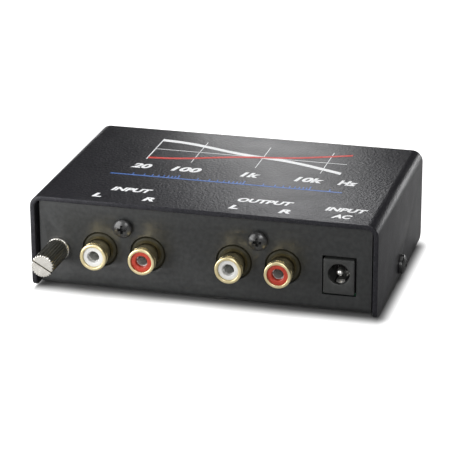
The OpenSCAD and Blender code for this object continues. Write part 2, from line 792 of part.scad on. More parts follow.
// The stamped strap that joins a pair's sleeves and goes down into the board
module earth_strap(x) {
    leg_x = jack_pitch / 4;
    color([0.7, 0.68, 0.62])
    difference() {
        union() {
            translate([x, jack_back_y, jack_z]) along_y(strap_t)
                round_rect(jack_pitch + neck_d + 2 * sleeve_t, neck_d + 2 * sleeve_t, sleeve_t);
            for (side = sides)
                strip(x + side * leg_x, jack_back_y, board_z - lead_below, jack_z, strap_leg_w, strap_t);
        }
        for (side = sides) translate([x + side * jack_pitch / 2, jack_back_y + strap_t + cut, jack_z])
            forwards() cylinder(h = strap_t + 2 * cut, d = neck_d + 2 * push_gap);
    }
}

module input_earth_strap() earth_strap(input_x);
module output_earth_strap() earth_strap(output_x);

// ---------- power socket ----------

// Heights that the socket's parts share
power_bore_low = power_z - power_bore_d / 2;
leaf_crest_z = power_bore_low + leaf_rise;
slot_low_z = board_top_z + seat_gap + slot_floor;
// Places behind the socket's face
power_face_y = panel_y - power_proud;
leaf_crest_y = power_face_y + leaf_crest_back;
leaf_tip_y = leaf_crest_y - leaf_tip_len;
leaf_root_y = power_back_y - leaf_root_in;
leaf_root_z = slot_low_z + leaf_gap + leaf_t;
clip_y = leaf_root_y + leaf_seat_gap;
pin_tail_y = power_back_y + push_gap;

module power_socket_housing() {
    low_z = board_top_z + seat_gap;
    block_mid = power_h / 2;
    color([0.08, 0.08, 0.08])
    difference() {
        union() {
            translate([power_x, power_face_y, low_z + block_mid])
                along_y(power_block_depth) round_rect(power_w, power_h, power_corner_r);
            translate([power_x, power_face_y + power_block_depth - cut, low_z])
                along_y(power_depth - power_block_depth + cut)
                    arch(barrel_w, power_up + barrel_w / 2 - seat_gap, (barrel_w - barrel_flat) / 2);
        }
        translate([power_x, power_face_y - cut, power_z]) rotate([-90, 0, 0])
            cylinder(h = power_bore_depth + cut, d = power_bore_d);
        translate([power_x, power_back_y + cut, power_z]) forwards()
            cylinder(h = power_depth, d = pin_stem_d + 2 * push_gap);
        // The leaf's slot opens into the plug hole, and backwards for the leaf and its clip
        translate([power_x - leaf_w / 2 - leaf_gap, leaf_tip_y - 2 * leaf_gap, slot_low_z])
            cube([leaf_w + 2 * leaf_gap, power_depth, power_bore_low - slot_low_z + leaf_rise]);
        // The clip's tail goes down through the floor of the slot
        translate([power_x - tail_w / 2 - push_gap, clip_y - push_gap, board_top_z - cut])
            cube([tail_w + 2 * push_gap, leaf_t + 2 * push_gap, slot_low_z - board_top_z + 2 * cut]);
    }
}

module power_socket_pin() {
    tip_r = power_pin_d / 2;
    tip_y = power_face_y + power_pin_back + tip_r;
    floor_y = power_face_y + power_bore_depth;
    color([0.8, 0.8, 0.78])
    union() {
        translate([power_x, floor_y, power_z]) forwards() {
            cylinder(h = floor_y - tip_y, r = tip_r);
            translate([0, 0, floor_y - tip_y]) sphere(tip_r);
        }
        translate([power_x, pin_tail_y + leaf_t, power_z]) forwards()
            cylinder(h = pin_tail_y + leaf_t - floor_y + tip_r, d = pin_stem_d);
        strip(power_x, pin_tail_y, board_z - lead_below, power_z, tail_w, leaf_t);
    }
}

// The spring leaf, a bent strip that rises to a crest under the plug
module power_socket_leaf() {
    color([0.75, 0.75, 0.72])
    translate([power_x - leaf_w / 2, 0, 0]) along_x(leaf_w) polygon([
        [leaf_root_y, leaf_root_z],
        [leaf_root_y, leaf_root_z - leaf_t],
        [leaf_crest_y + leaf_t, leaf_crest_z - leaf_t],
        [leaf_crest_y - leaf_t, leaf_crest_z - leaf_t],
        [leaf_tip_y, leaf_crest_z - leaf_rise - 2 * leaf_t],
        [leaf_tip_y, leaf_crest_z - leaf_rise - leaf_t],
        [leaf_crest_y - leaf_t, leaf_crest_z],
        [leaf_crest_y + leaf_t, leaf_crest_z]
    ]);
}

// The fixed terminal behind the leaf, with a tail to the board
module power_socket_clip() {
    color([0.75, 0.75, 0.72])
    union() {
        strip(power_x, clip_y, slot_low_z, power_bore_low, leaf_w, leaf_t);
        strip(power_x, clip_y, board_z - lead_below, slot_low_z + leaf_t, tail_w, leaf_t);
    }
}

// ---------- ground terminal ----------

module ground_screw() {
    knob_w = 2 * washer_gap + washer_t;
    shank_d = ground_thread_d;
    color([0.75, 0.74, 0.7])
    on_panel(ground_x, ground_z) difference() {
        union() {
            translate([0, 0, knob_w]) intersection() {
                linear_extrude(knob_len) difference() {
                    circle(d = knob_d, $fn = 96);
                    for (i = [0 : knurl_count - 1]) rotate(i * 360 / knurl_count)
                        translate([knob_d / 2, 0]) rotate(45)
                            square(knurl_depth * sqrt(2), center = true);
                }
                rotate_extrude() polygon([
                    [0, 0],
                    [knob_d / 2 - knob_bevel, 0],
                    [knob_d / 2 + cut, knob_bevel + cut],
                    [knob_d / 2 + cut, knob_len - knob_bevel - cut],
                    [knob_d / 2 - knob_bevel, knob_len],
                    [0, knob_len]
                ]);
            }
            translate([0, 0, knob_w - ground_shank_len]) cylinder(h = ground_shank_len + cut, d = shank_d);
        }
        translate([0, 0, knob_w + knob_len]) rotate(knob_slot_angle)
            cube([knob_d + cut, knob_slot_w, 2 * knob_slot_depth], center = true);
    }
}

module ground_washer() {
    color([0.8, 0.79, 0.75])
    on_panel(ground_x, ground_z) translate([0, 0, washer_gap]) difference() {
        cylinder(h = washer_t, d = washer_d);
        translate([0, 0, -cut]) cylinder(h = washer_t + 2 * cut, d = ground_bore_d);
    }
}

module ground_bush() {
    color([0.72, 0.68, 0.5])
    on_panel(ground_x, ground_z) difference() {
        union() {
            translate([0, 0, -chassis_t - lug_tag_t - bush_len]) cylinder(h = bush_len, d = bush_d);
            translate([0, 0, -chassis_t - lug_tag_t - cut])
                cylinder(h = chassis_t + lug_tag_t + cut, d = bush_collar_d);
        }
        translate([0, 0, -chassis_t - lug_tag_t - bush_len - cut])
            cylinder(h = bush_len + lug_tag_t + chassis_t + 2 * cut, d = ground_bore_d);
    }
}

// Height of the solder lug's tail, which is bent inwards
tail_z = ground_z + bush_d / 2 + lug_tail_w / 2;

module ground_lug() {
    color([0.78, 0.76, 0.7])
    union() {
        difference() {
            union() {
                translate([ground_x, panel_back_y, ground_z]) along_y(lug_tag_t) circle(d = bush_d);
                strip(ground_x, panel_back_y, ground_z, tail_z, lug_tail_w, lug_tag_t);
            }
            translate([ground_x, panel_back_y + lug_tag_t + cut, ground_z]) forwards()
                cylinder(h = lug_tag_t + 2 * cut, d = bush_collar_d + 2 * push_gap);
        }
        translate([ground_x - lug_tail_w / 2, panel_back_y, tail_z - lug_tag_t])
            cube([lug_tail_w, lug_tail_len, lug_tag_t]);
    }
}

// The wire lies on the lug's tail, bends down and goes into the board
wire_run_z = tail_z + wire_d / 2 + seat_gap;
wire_start_y = panel_back_y + lug_tail_len / 2;
wire_bend_y = panel_back_y + lug_tail_len + wire_d;

module ground_wire() {
    color([0.1, 0.45, 0.2])
    translate([ground_x, 0, 0]) union() {
        translate([0, wire_start_y, wire_run_z]) rotate([-90, 0, 0])
            cylinder(h = wire_bend_y - wire_start_y, d = wire_d, $fn = 32);
        translate([0, wire_bend_y, wire_run_z - wire_bend_r]) rotate([90, 0, 90])
            rotate_extrude(angle = 90) translate([wire_bend_r, 0]) circle(d = wire_d, $fn = 32);
        translate([0, wire_bend_y + wire_bend_r, board_top_z + seat_gap])
            cylinder(h = wire_run_z - wire_bend_r - board_top_z - seat_gap, d = wire_d, $fn = 32);
        translate([0, wire_bend_y + wire_bend_r, board_z - lead_below])
            cylinder(h = board_t + lead_below + cut, d = lead_d, $fn = 16);
    }
}

// ---------- circuit board and what is on it ----------

function standoff_x() = board_w / 2 - standoff_inset_x;
// Diameter of the stub that fixes a standoff in the chassis
function standoff_stub_d() = (standoff_d + screw_seat_d) / 2;

// Holes of round-leaded parts with two leads
module lead_holes(places, pitch, d) {
    for (place = places, side = sides)
        translate([place[0] + side * pitch / 2, place[1], board_z - cut])
            cylinder(h = board_t + 2 * cut, d = d + 2 * lead_gap, $fn = 16);
}

// A slot in the board for a flat tail
module tail_slot(x, y, w, t) {
    translate([x - w / 2 - lead_gap, y - lead_gap, board_z - cut])
        cube([w + 2 * lead_gap, t + 2 * lead_gap, board_t + 2 * cut]);
}

module circuit_board() {
    contact_tail_y = jack_back_y + strap_t + 2 * push_gap;
    color([0.1, 0.35, 0.2])
    difference() {
        translate([-board_w / 2, board_front_y, board_z])
            cube([board_w, board_back_y - board_front_y, board_t]);
        for (x = sides, y = [standoff_front_y, standoff_back_y])
            translate([x * standoff_x(), y, board_z - cut])
                cylinder(h = board_t + 2 * cut, d = screw_pass_d);
        for (pair_x = [input_x, output_x], side = sides) {
            tail_slot(pair_x + side * jack_pitch / 2, contact_tail_y, contact_stem_d, contact_t);
            tail_slot(pair_x + side * jack_pitch / 4, jack_back_y, strap_leg_w, strap_t);
        }
        tail_slot(power_x, pin_tail_y, tail_w, leaf_t);
        tail_slot(power_x, clip_y, tail_w, leaf_t);
        lead_holes(supply_cap_places, supply_cap_pitch, lead_d);
        lead_holes(coupling_cap_places, coupling_cap_pitch, lead_d);
        lead_holes(film_cap_places, film_cap_pitch, lead_d);
        lead_holes(resistor_places, resistor_pitch, lead_d);
        lead_holes(diode_places, resistor_pitch, lead_d);
        lead_holes([[ground_x, wire_bend_y + wire_bend_r]], 0, lead_d);
        lead_holes([[lamp_x, lamp_lead_y]], leg_pitch, leg_w);
        for (place = chip_places, i = [0 : 3])
            lead_holes([[place[0], place[1] + (i - 1.5) * leg_pitch]], leg_row, socket_pin_d);
        for (place = regulator_places, i = [-1 : 1])
            lead_holes([[place[0], place[1] + i * leg_pitch]], 0, leg_w * 1.5);
    }
}

module board_standoffs() {
    color([0.75, 0.72, 0.6])
    for (x = sides, y = [standoff_front_y, standoff_back_y]) translate([x * standoff_x(), y, chassis_z])
        difference() {
            union() {
                cylinder(h = chassis_t, d = standoff_stub_d());
                translate([0, 0, chassis_t]) cylinder(h = standoff_h, d = standoff_d, $fn = 6);
            }
            translate([0, 0, chassis_t / 2]) cylinder(h = chassis_t + standoff_h, d = screw_seat_d);
        }
}

module board_screws() {
    color([0.7, 0.7, 0.7])
    for (x = sides, y = [standoff_front_y, standoff_back_y]) translate([x * standoff_x(), y, board_top_z])
        pan_screw(screw_head_d, board_screw_len);
}

// A frame with eight turned pins, open in the middle
module chip_sockets() {
    color([0.08, 0.08, 0.08])
    on_board(chip_places) {
        difference() {
            translate([-socket_w / 2, -socket_w / 2, seat_gap])
                cube([socket_w, socket_w, socket_h - seat_gap]);
            translate([-socket_w / 4, -socket_w / 4, -cut])
                cube([socket_w / 2, socket_w / 2, socket_h + 2 * cut]);
            for (side = sides, i = [0 : 3])
                translate([side * leg_row / 2, (i - 1.5) * leg_pitch, socket_h / 2 + cut / 2])
                    cube([leg_t + 4 * push_gap, leg_w + 4 * push_gap, socket_h + cut], center = true);
        }
        for (i = [0 : 3]) translate([0, (i - 1.5) * leg_pitch, 0]) chip_socket_pins();
    }
}

// Two pins under the frame, which carry the chip's legs
module chip_socket_pins() {
    for (side = sides) translate([side * leg_row / 2, 0, -board_t - lead_below])
        cylinder(h = board_t + lead_below + 2 * seat_gap, d = socket_pin_d, $fn = 16);
}

module amplifier_chips() {
    color([0.1, 0.1, 0.1])
    on_board(chip_places) translate([0, 0, socket_h + seat_gap]) {
        difference() {
            translate([-chip_w / 2, -chip_len / 2, 0]) cube([chip_w, chip_len, chip_h]);
            translate([0, -chip_len / 2, chip_h - leg_w]) cylinder(h = leg_w + cut, d = leg_pitch / 2);
        }
        for (side = sides, i = [0 : 3]) translate([side * leg_row / 2, (i - 1.5) * leg_pitch, 0]) {
            translate([-leg_t / 2, -leg_w / 2, -socket_h / 2])
                cube([leg_t, leg_w, socket_h / 2 + chip_h / 2]);
            translate([side > 0 ? chip_w / 2 - leg_row / 2 : -leg_t / 2, -leg_w / 2, chip_h / 2 - leg_t])
                cube([leg_row / 2 - chip_w / 2 + leg_t / 2, leg_w, leg_t]);
        }
    }
}

// A regulator that stands on three legs, with its tab behind it
module regulator(place) {
    tab_t = 1.3;
    color([0.12, 0.12, 0.12])
    on_board([place]) {
        translate([-regulator_t / 2, -regulator_w / 2, regulator_leg])
            cube([regulator_t, regulator_w, regulator_h]);
        difference() {
            translate([regulator_t / 2 - tab_t, -regulator_w / 2, regulator_leg + regulator_h])
                cube([tab_t, regulator_w, regulator_tab_h]);
            translate([0, 0, regulator_leg + regulator_h + regulator_tab_h / 2]) rotate([0, 90, 0])
                cylinder(h = regulator_t, d = screw_pass_d);
        }
        for (i = [-1 : 1]) translate([-leg_w / 2, i * leg_pitch - leg_w / 2, -board_t - lead_below])
            cube([leg_w, leg_w, board_t + lead_below + regulator_leg]);
    }
}

module positive_regulator() regulator(regulator_places[0]);
module negative_regulator() regulator(regulator_places[1]);

// A standing can with a crimp groove near its foot
module can_capacitor(d, h, pitch) {
    groove_r = d / 20;
    rotate_extrude() difference() {
        translate([0, seat_gap]) square([d / 2, h - seat_gap]);
        translate([d / 2 + groove_r / 2, d / 5]) circle(groove_r, $fn = 32);
        translate([-cut, h - groove_r]) square([cut + d / 2 - 2 * groove_r, groove_r + cut]);
    }
    lead_pair(pitch, 2 * seat_gap, lead_d);
}

module supply_capacitors() {
    color([0.1, 0.12, 0.25])
    on_board(supply_cap_places) can_capacitor(supply_cap_d, supply_cap_h, supply_cap_pitch);
}

module coupling_capacitors() {
    color([0.12, 0.12, 0.14])
    on_board(coupling_cap_places) can_capacitor(coupling_cap_d, coupling_cap_h, coupling_cap_pitch);
}

module film_capacitors() {
    color([0.7, 0.15, 0.1])
    on_board(film_cap_places) {
        translate([-film_cap_w / 2, -film_cap_d / 2, seat_gap])
            cube([film_cap_w, film_cap_d, film_cap_h - seat_gap]);
        lead_pair(film_cap_pitch, 2 * seat_gap, lead_d);
    }
}

// A part that lies on the board between two bent leads
module axial_part(d, length, pitch, end_step) {
    axis_up = d / 2 + seat_gap;
    end_len = length / 4;
    translate([0, 0, axis_up]) rotate([0, 90, 0]) {
        cylinder(h = length, d = d - 2 * end_step, center = true, $fn = 32);
        for (side = sides) translate([0, 0, side * (length - end_len) / 2])
            cylinder(h = end_len, d = d, center = true, $fn = 32);
        cylinder(h = pitch, d = lead_d, center = true, $fn = 16);
    }
    for (side = sides) translate([side * pitch / 2, 0, -board_t - lead_below]) {
        cylinder(h = board_t + lead_below + axis_up, d = lead_d, $fn = 16);
        translate([0, 0, board_t + lead_below + axis_up]) sphere(d = lead_d, $fn = 16);
    }
}

module resistors() {
    color([0.35, 0.55, 0.75])
    on_board(resistor_places) axial_part(resistor_d, resistor_len, resistor_pitch, lead_gap);
}

module rectifier_diodes() {
    color([0.1, 0.1, 0.1])
    on_board(diode_places) axial_part(diode_d, diode_len, resistor_pitch, 0);
}

// The lamp's leads run back from its flange and bend down into the board
lamp_flange_t = 1;
lamp_lead_run = 2;
lamp_lead_y = far_panel_in_y - lamp_flange_t - lamp_lead_run;

module indicator_lamp() {
    dome_r = lamp_d / 2;
    color([0.3, 0.4, 0.9])
    union() {
        translate([lamp_x, far_panel_in_y, lamp_z]) rotate([-90, 0, 0]) {
            cylinder(h = lamp_len - dome_r, r = dome_r);
            translate([0, 0, lamp_len - dome_r]) sphere(dome_r);
            translate([0, 0, -lamp_flange_t]) cylinder(h = lamp_flange_t, d = lamp_d + 4 * screw_pass_gap);
        }
        for (side = sides)
            translate([lamp_x + side * leg_pitch / 2 - leg_w / 2, lamp_lead_y - leg_w / 2, 0]) {
                translate([0, 0, lamp_z - leg_w / 2])
                    cube([leg_w, lamp_lead_run + lamp_flange_t / 2 + leg_w / 2, leg_w]);
                translate([0, 0, board_z - lead_below])
                    cube([leg_w, leg_w, lamp_z - board_z + lead_below + leg_w / 2]);
            }
    }
}

top_cover();
base_chassis();
rubber_feet();
cover_screws();
socket_screws();
input_socket_housing();
output_socket_housing();
input_left_sleeve();
input_right_sleeve();
output_left_sleeve();
output_right_sleeve();
input_left_insulator();
input_right_insulator();
output_left_insulator();
output_right_insulator();
input_left_contact();
input_right_contact();
output_left_contact();
output_right_contact();
input_earth_strap();
output_earth_strap();
power_socket_housing();
power_socket_pin();
power_socket_leaf();
power_socket_clip();
ground_screw();
ground_washer();
ground_bush();
ground_lug();
ground_wire();
circuit_board();
board_standoffs();
board_screws();
chip_sockets();
amplifier_chips();
positive_regulator();
negative_regulator();
supply_capacitors();
coupling_capacitors();
film_capacitors();
resistors();
rectifier_diodes();
indicator_lamp();
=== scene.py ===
# %% [markdown]
# # Dressing a small phono preamplifier
# The construction model of the case, its sockets and its board is loaded first, as a fixed
# frame. Everything that follows is built around it, in metres and in the same place, so a
# piece never has to be fitted by eye.

# %% Load the frame
import json
import math

import bmesh
import bpy
from mathutils import Matrix, Vector


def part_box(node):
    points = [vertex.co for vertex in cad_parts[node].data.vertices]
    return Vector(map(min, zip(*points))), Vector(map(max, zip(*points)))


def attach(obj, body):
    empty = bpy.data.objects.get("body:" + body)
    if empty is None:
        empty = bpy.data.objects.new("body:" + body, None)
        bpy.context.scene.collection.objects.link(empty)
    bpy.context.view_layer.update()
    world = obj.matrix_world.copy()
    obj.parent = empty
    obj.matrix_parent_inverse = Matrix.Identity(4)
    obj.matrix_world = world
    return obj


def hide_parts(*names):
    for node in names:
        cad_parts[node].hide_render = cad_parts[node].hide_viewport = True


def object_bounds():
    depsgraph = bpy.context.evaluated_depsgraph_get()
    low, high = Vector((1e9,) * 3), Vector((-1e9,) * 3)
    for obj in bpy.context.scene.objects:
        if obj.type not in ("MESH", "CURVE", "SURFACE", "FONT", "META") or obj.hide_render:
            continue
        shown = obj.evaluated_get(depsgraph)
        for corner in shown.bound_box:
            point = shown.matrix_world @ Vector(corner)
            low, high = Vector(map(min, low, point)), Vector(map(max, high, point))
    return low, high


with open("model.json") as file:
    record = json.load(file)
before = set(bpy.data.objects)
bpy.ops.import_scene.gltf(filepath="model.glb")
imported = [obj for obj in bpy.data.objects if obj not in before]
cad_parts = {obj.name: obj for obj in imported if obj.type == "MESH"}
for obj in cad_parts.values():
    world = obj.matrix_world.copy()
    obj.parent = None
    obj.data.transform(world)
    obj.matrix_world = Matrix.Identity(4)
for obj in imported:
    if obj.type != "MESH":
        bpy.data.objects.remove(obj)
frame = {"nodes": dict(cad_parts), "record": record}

cad_low, cad_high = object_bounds()
print("frame", len(frame["nodes"]), "nodes, box", cad_low, cad_high)

# %% [markdown]
# ## Words used throughout
# A drawing of such a box is dimensioned in millimetres and Blender works in metres, so one
# factor is kept by name. The two helpers below matter more than they look: an operator acts
# on everything that is selected, and the loaded frame comes in selected.

# %% Units and selection
MM = 0.001


def deselect_all():
    if bpy.context.object and bpy.context.object.mode != "OBJECT":
        bpy.ops.object.mode_set(mode="OBJECT")
    bpy.ops.object.select_all(action="DESELECT")


def take(piece):
    deselect_all()
    piece.select_set(True)
    bpy.context.view_layer.objects.active = piece
    return piece


def settle(piece):
    """Moves place, turn and scale into the mesh, so that the object sits at the origin."""
    take(piece)
    bpy.ops.object.transform_apply(location=True, rotation=True, scale=True)
    return piece


deselect_all()
print("selected:", len(bpy.context.selected_objects))

# %% [markdown]
# ## The camera
# A long lens from the front right, a little above the lid, shows the socket panel almost
# square on and keeps the edges of the case nearly parallel.

# %% Camera
CAMERA_PLACE = Vector((173.634, -639.638, 266.115)) * MM
CAMERA_AZIMUTH, CAMERA_ELEVATION, CAMERA_ROLL = 15.186, 20.756, -0.249
LENS_MM, SENSOR_MM = 183.19, 36.0

bpy.ops.object.camera_add()
camera = bpy.context.object
camera.data.lens = LENS_MM
camera.data.sensor_width = SENSOR_MM
camera.matrix_world = (
    Matrix.Translation(CAMERA_PLACE)
    @ Matrix.Rotation(math.radians(CAMERA_AZIMUTH), 4, "Z")
    @ Matrix.Rotation(math.radians(90 - CAMERA_ELEVATION), 4, "X")
    @ Matrix.Rotation(math.radians(CAMERA_ROLL), 4, "Z")
)
bpy.context.scene.camera = camera
bpy.context.scene.view_settings.view_transform = "Standard"
print("camera at", camera.location)

# %% [markdown]
# ## Building a finish from nodes
# Every finish below is a small tree of nodes. A few helpers keep the trees readable: they
# start a finish, put a node on it, give the coordinates its patterns follow, run a value
# over a range and blend two colours. Object coordinates are used, because all the pieces
# share one origin and real sizes in metres, so a grain of 0.4 mm is a noise of scale 1 / 0.4 mm.

# %% Helpers for finishes
def start_finish(name, colour, roughness, metallic=0.0, specular=0.5):
    finish = bpy.data.materials.new(name)
    finish.use_nodes = True
    finish.diffuse_color = (*colour, 1)
    shader = finish.node_tree.nodes["Principled BSDF"]
    shader.inputs["Base Color"].default_value = (*colour, 1)
    shader.inputs["Roughness"].default_value = roughness
    shader.inputs["Metallic"].default_value = metallic
    shader.inputs["Specular IOR Level"].default_value = specular
    return finish


def put(finish, kind, **values):
    """Adds a node. Each value goes to the input of that name, or to the setting of that name."""
    made = finish.node_tree.nodes.new(kind)
    for name, value in values.items():
        socket = made.inputs.get(name.replace("_", " "))
        if socket is None:
            setattr(made, name, value)
        else:
            socket.default_value = value
    return made


def wire(finish, start, end):
    finish.node_tree.links.new(start, end)


def shader_of(finish):
    return finish.node_tree.nodes["Principled BSDF"]


def surface_place(finish, centre=(0, 0, 0)):
    """Object coordinates, counted from centre."""
    place = put(finish, "ShaderNodeTexCoord")
    shift = put(finish, "ShaderNodeMapping", Location=[-c for c in centre])
    wire(finish, place.outputs["Object"], shift.inputs["Vector"])
    return shift.outputs["Vector"]


def axes_of(finish, place):
    split = put(finish, "ShaderNodeSeparateXYZ")
    wire(finish, place, split.inputs["Vector"])
    return split.outputs


def ramp(finish, value, start=0.0, end=1.0, low=0.0, high=1.0, kind="LINEAR"):
    """Runs from low to high while the value runs from start to end."""
    made = put(
        finish, "ShaderNodeMapRange", interpolation_type=kind,
        From_Min=start, From_Max=end, To_Min=low, To_Max=high,
    )
    wire(finish, value, made.inputs["Value"])
    return made.outputs["Result"]


def blend(finish, share, colour, other):
    """Blends the colour of a socket towards a fixed one, and colours the finish with it."""
    mix = put(finish, "ShaderNodeMix", data_type="RGBA")
    wire(finish, share, mix.inputs["Factor"])
    wire(finish, colour, mix.inputs["A"])
    mix.inputs["B"].default_value = (*other, 1)
    wire(finish, mix.outputs["Result"], shader_of(finish).inputs["Base Color"])


# %% [markdown]
# ## Grain, mottle and smudge
# No real surface is one flat colour. Three things vary on nearly all of them: the colour
# drifts a little (mottle), the shine drifts a little (smudge), and the surface itself isn't
# quite flat (grain). Each is one noise with its own size in millimetres.

# %% Mottle, smudge and grain
NOISE_LOW, NOISE_HIGH = 0.3, 0.7  # nearly all of a noise lies between these


def noise_of(finish, place, size_mm, detail=2.0):
    noise = put(finish, "ShaderNodeTexNoise", Scale=1 / (size_mm * MM), Detail=detail)
    wire(finish, place, noise.inputs["Vector"])
    return noise.outputs["Fac"]


def mottle(finish, place, size_mm, dark, light, low=0.35, high=0.65):
    shades = put(finish, "ShaderNodeValToRGB")
    ends = shades.color_ramp.elements
    ends[0].position, ends[1].position = low, high
    ends[0].color, ends[1].color = (*dark, 1), (*light, 1)
    wire(finish, noise_of(finish, place, size_mm), shades.inputs["Fac"])
    wire(finish, shades.outputs["Color"], shader_of(finish).inputs["Base Color"])
    return shades.outputs["Color"]


def smudge(finish, place, size_mm, low, high):
    shine = ramp(finish, noise_of(finish, place, size_mm), NOISE_LOW, NOISE_HIGH, low, high)
    wire(finish, shine, shader_of(finish).inputs["Roughness"])


def grain(finish, height, depth_mm, strength=1.0, under=None):
    """Turns a height into a bump, over another bump if one is given."""
    bump = put(finish, "ShaderNodeBump", Strength=strength, Distance=depth_mm * MM)
    wire(finish, height, bump.inputs["Height"])
    if under:
        wire(finish, under, bump.inputs["Normal"])
    wire(finish, bump.outputs["Normal"], shader_of(finish).inputs["Normal"])
    return bump.outputs["Normal"]


print("helpers for finishes are ready")

# %% [markdown]
# ## The lid's textured coat
# The lid is steel with a baked powder coat. Such a coat is a skin of melted grains: black,
# half matt, with pebbles a little under a millimetre. A noise bump gives the pebbles, and a
# finer noise cut off near its top paints glints: lighter specks in the base colour, a painted
# highlight standing in for grains that catch the light.

# %% Textured black coat
PEBBLE_MM, PEBBLE_DEEP_MM = 0.8, 0.09
SWELL_MM, SWELL_DEEP_MM = 2.6, 0.008
PAINTED_GLINT_MM, PAINTED_GLINT_FROM, PAINTED_GLINT_TO = 0.3, 0.58, 0.82
coat = start_finish("textured_black_coat", (0.017, 0.016, 0.019), 0.42, specular=0.25)
coat_place = surface_place(coat)
coat_colour = mottle(coat, coat_place, 0.7, (0.009, 0.009, 0.011), (0.018, 0.0175, 0.021))
shader_of(coat).inputs["Specular Tint"].default_value = (0.94, 0.95, 1.0, 1)
# painted glints: specks of lighter base colour stand in for grains catching the light
painted_glint = ramp(coat, noise_of(coat, coat_place, PAINTED_GLINT_MM, 0.0), PAINTED_GLINT_FROM, PAINTED_GLINT_TO)
blend(coat, painted_glint, coat_colour, (0.034, 0.033, 0.037))
smudge(coat, coat_place, 9.0, 0.32, 0.38)
coat_swell = grain(coat, noise_of(coat, coat_place, SWELL_MM), SWELL_DEEP_MM)
grain(coat, noise_of(coat, coat_place, PEBBLE_MM, 1.5), PEBBLE_DEEP_MM, under=coat_swell)
print(coat.name)

# %% [markdown]
# ## The panel's paint
# The chassis is sprayed with a plain satin black. It is smoother than the lid and has no
# glints, only the faint orange peel of a sprayed coat.

# %% Satin black paint
PEEL_MM, PEEL_DEEP_MM = 1.1, 0.02
paint = start_finish("satin_black_paint", (0.022, 0.023, 0.023), 0.4)
paint_place = surface_place(paint)
mottle(paint, paint_place, 1.4, (0.017, 0.018, 0.018), (0.027, 0.028, 0.028))
smudge(paint, paint_place, 4.0, 0.34, 0.44)
grain(paint, noise_of(paint, paint_place, PEEL_MM, 1.0), PEEL_DEEP_MM)
print(paint.name)

# %% [markdown]
# ## Turned and plated metal
# The sleeves are turned from brass and gold plated. The mouth is rounded and tumbled, so its
# lip is satin, while the barrel behind it keeps the mirror the lathe tool left and shows the
# black panel in gold. No turned barrel is quite even, so a very low wave runs along it. All
# this depends on the depth behind the mouth, so each socket gets its own copy of the finish,
# centred on its axis by a Mapping node: a ramp along the axis sets the roughness, and a band
# wave makes the unevenness.

# %% A finish for turned metal
WAVE_SCALE, WAVE_DEEP_MM = 1000 / 9, 0.002  # one wave every 2.8 mm
LIP_FADE_MM = 0.1


def turned_finish(name, colour, dark, centre, satin, mirror=None, lip_mm=1.0):
    """Satin in front of lip_mm and as smooth as mirror behind it, or satin all over."""
    finish = start_finish(name, colour, satin, metallic=1.0)
    place = surface_place(finish, centre)
    mottle(finish, place, 2.4, dark, colour, 0.3, 0.7)
    roughness = ramp(
        finish, axes_of(finish, place)["Y"], (lip_mm - LIP_FADE_MM) * MM,
        (lip_mm + LIP_FADE_MM) * MM, satin, satin if mirror is None else mirror,
    )
    wire(finish, roughness, shader_of(finish).inputs["Roughness"])
    wave = put(
        finish, "ShaderNodeTexWave", wave_type="BANDS", bands_direction="Y",
        Scale=WAVE_SCALE, Distortion=0.3, Detail=1.0,
    )
    wire(finish, place, wave.inputs["Vector"])
    grain(finish, wave.outputs["Fac"], WAVE_DEEP_MM)
    return finish


GOLD, GOLD_DARK = (0.90, 0.78, 0.48), (0.80, 0.68, 0.38)
NICKEL, NICKEL_DARK = (0.74, 0.72, 0.67), (0.58, 0.56, 0.52)
print("turned metal: gold", GOLD, "nickel", NICKEL)

# %% [markdown]
# ## Small finishes for the rest
# The remaining pieces are small: plastics, rubber, plated strip, board, sleeves of
# capacitors. They share one recipe of drifting colour, drifting shine and grain, so a short
# table is enough to tell them apart.

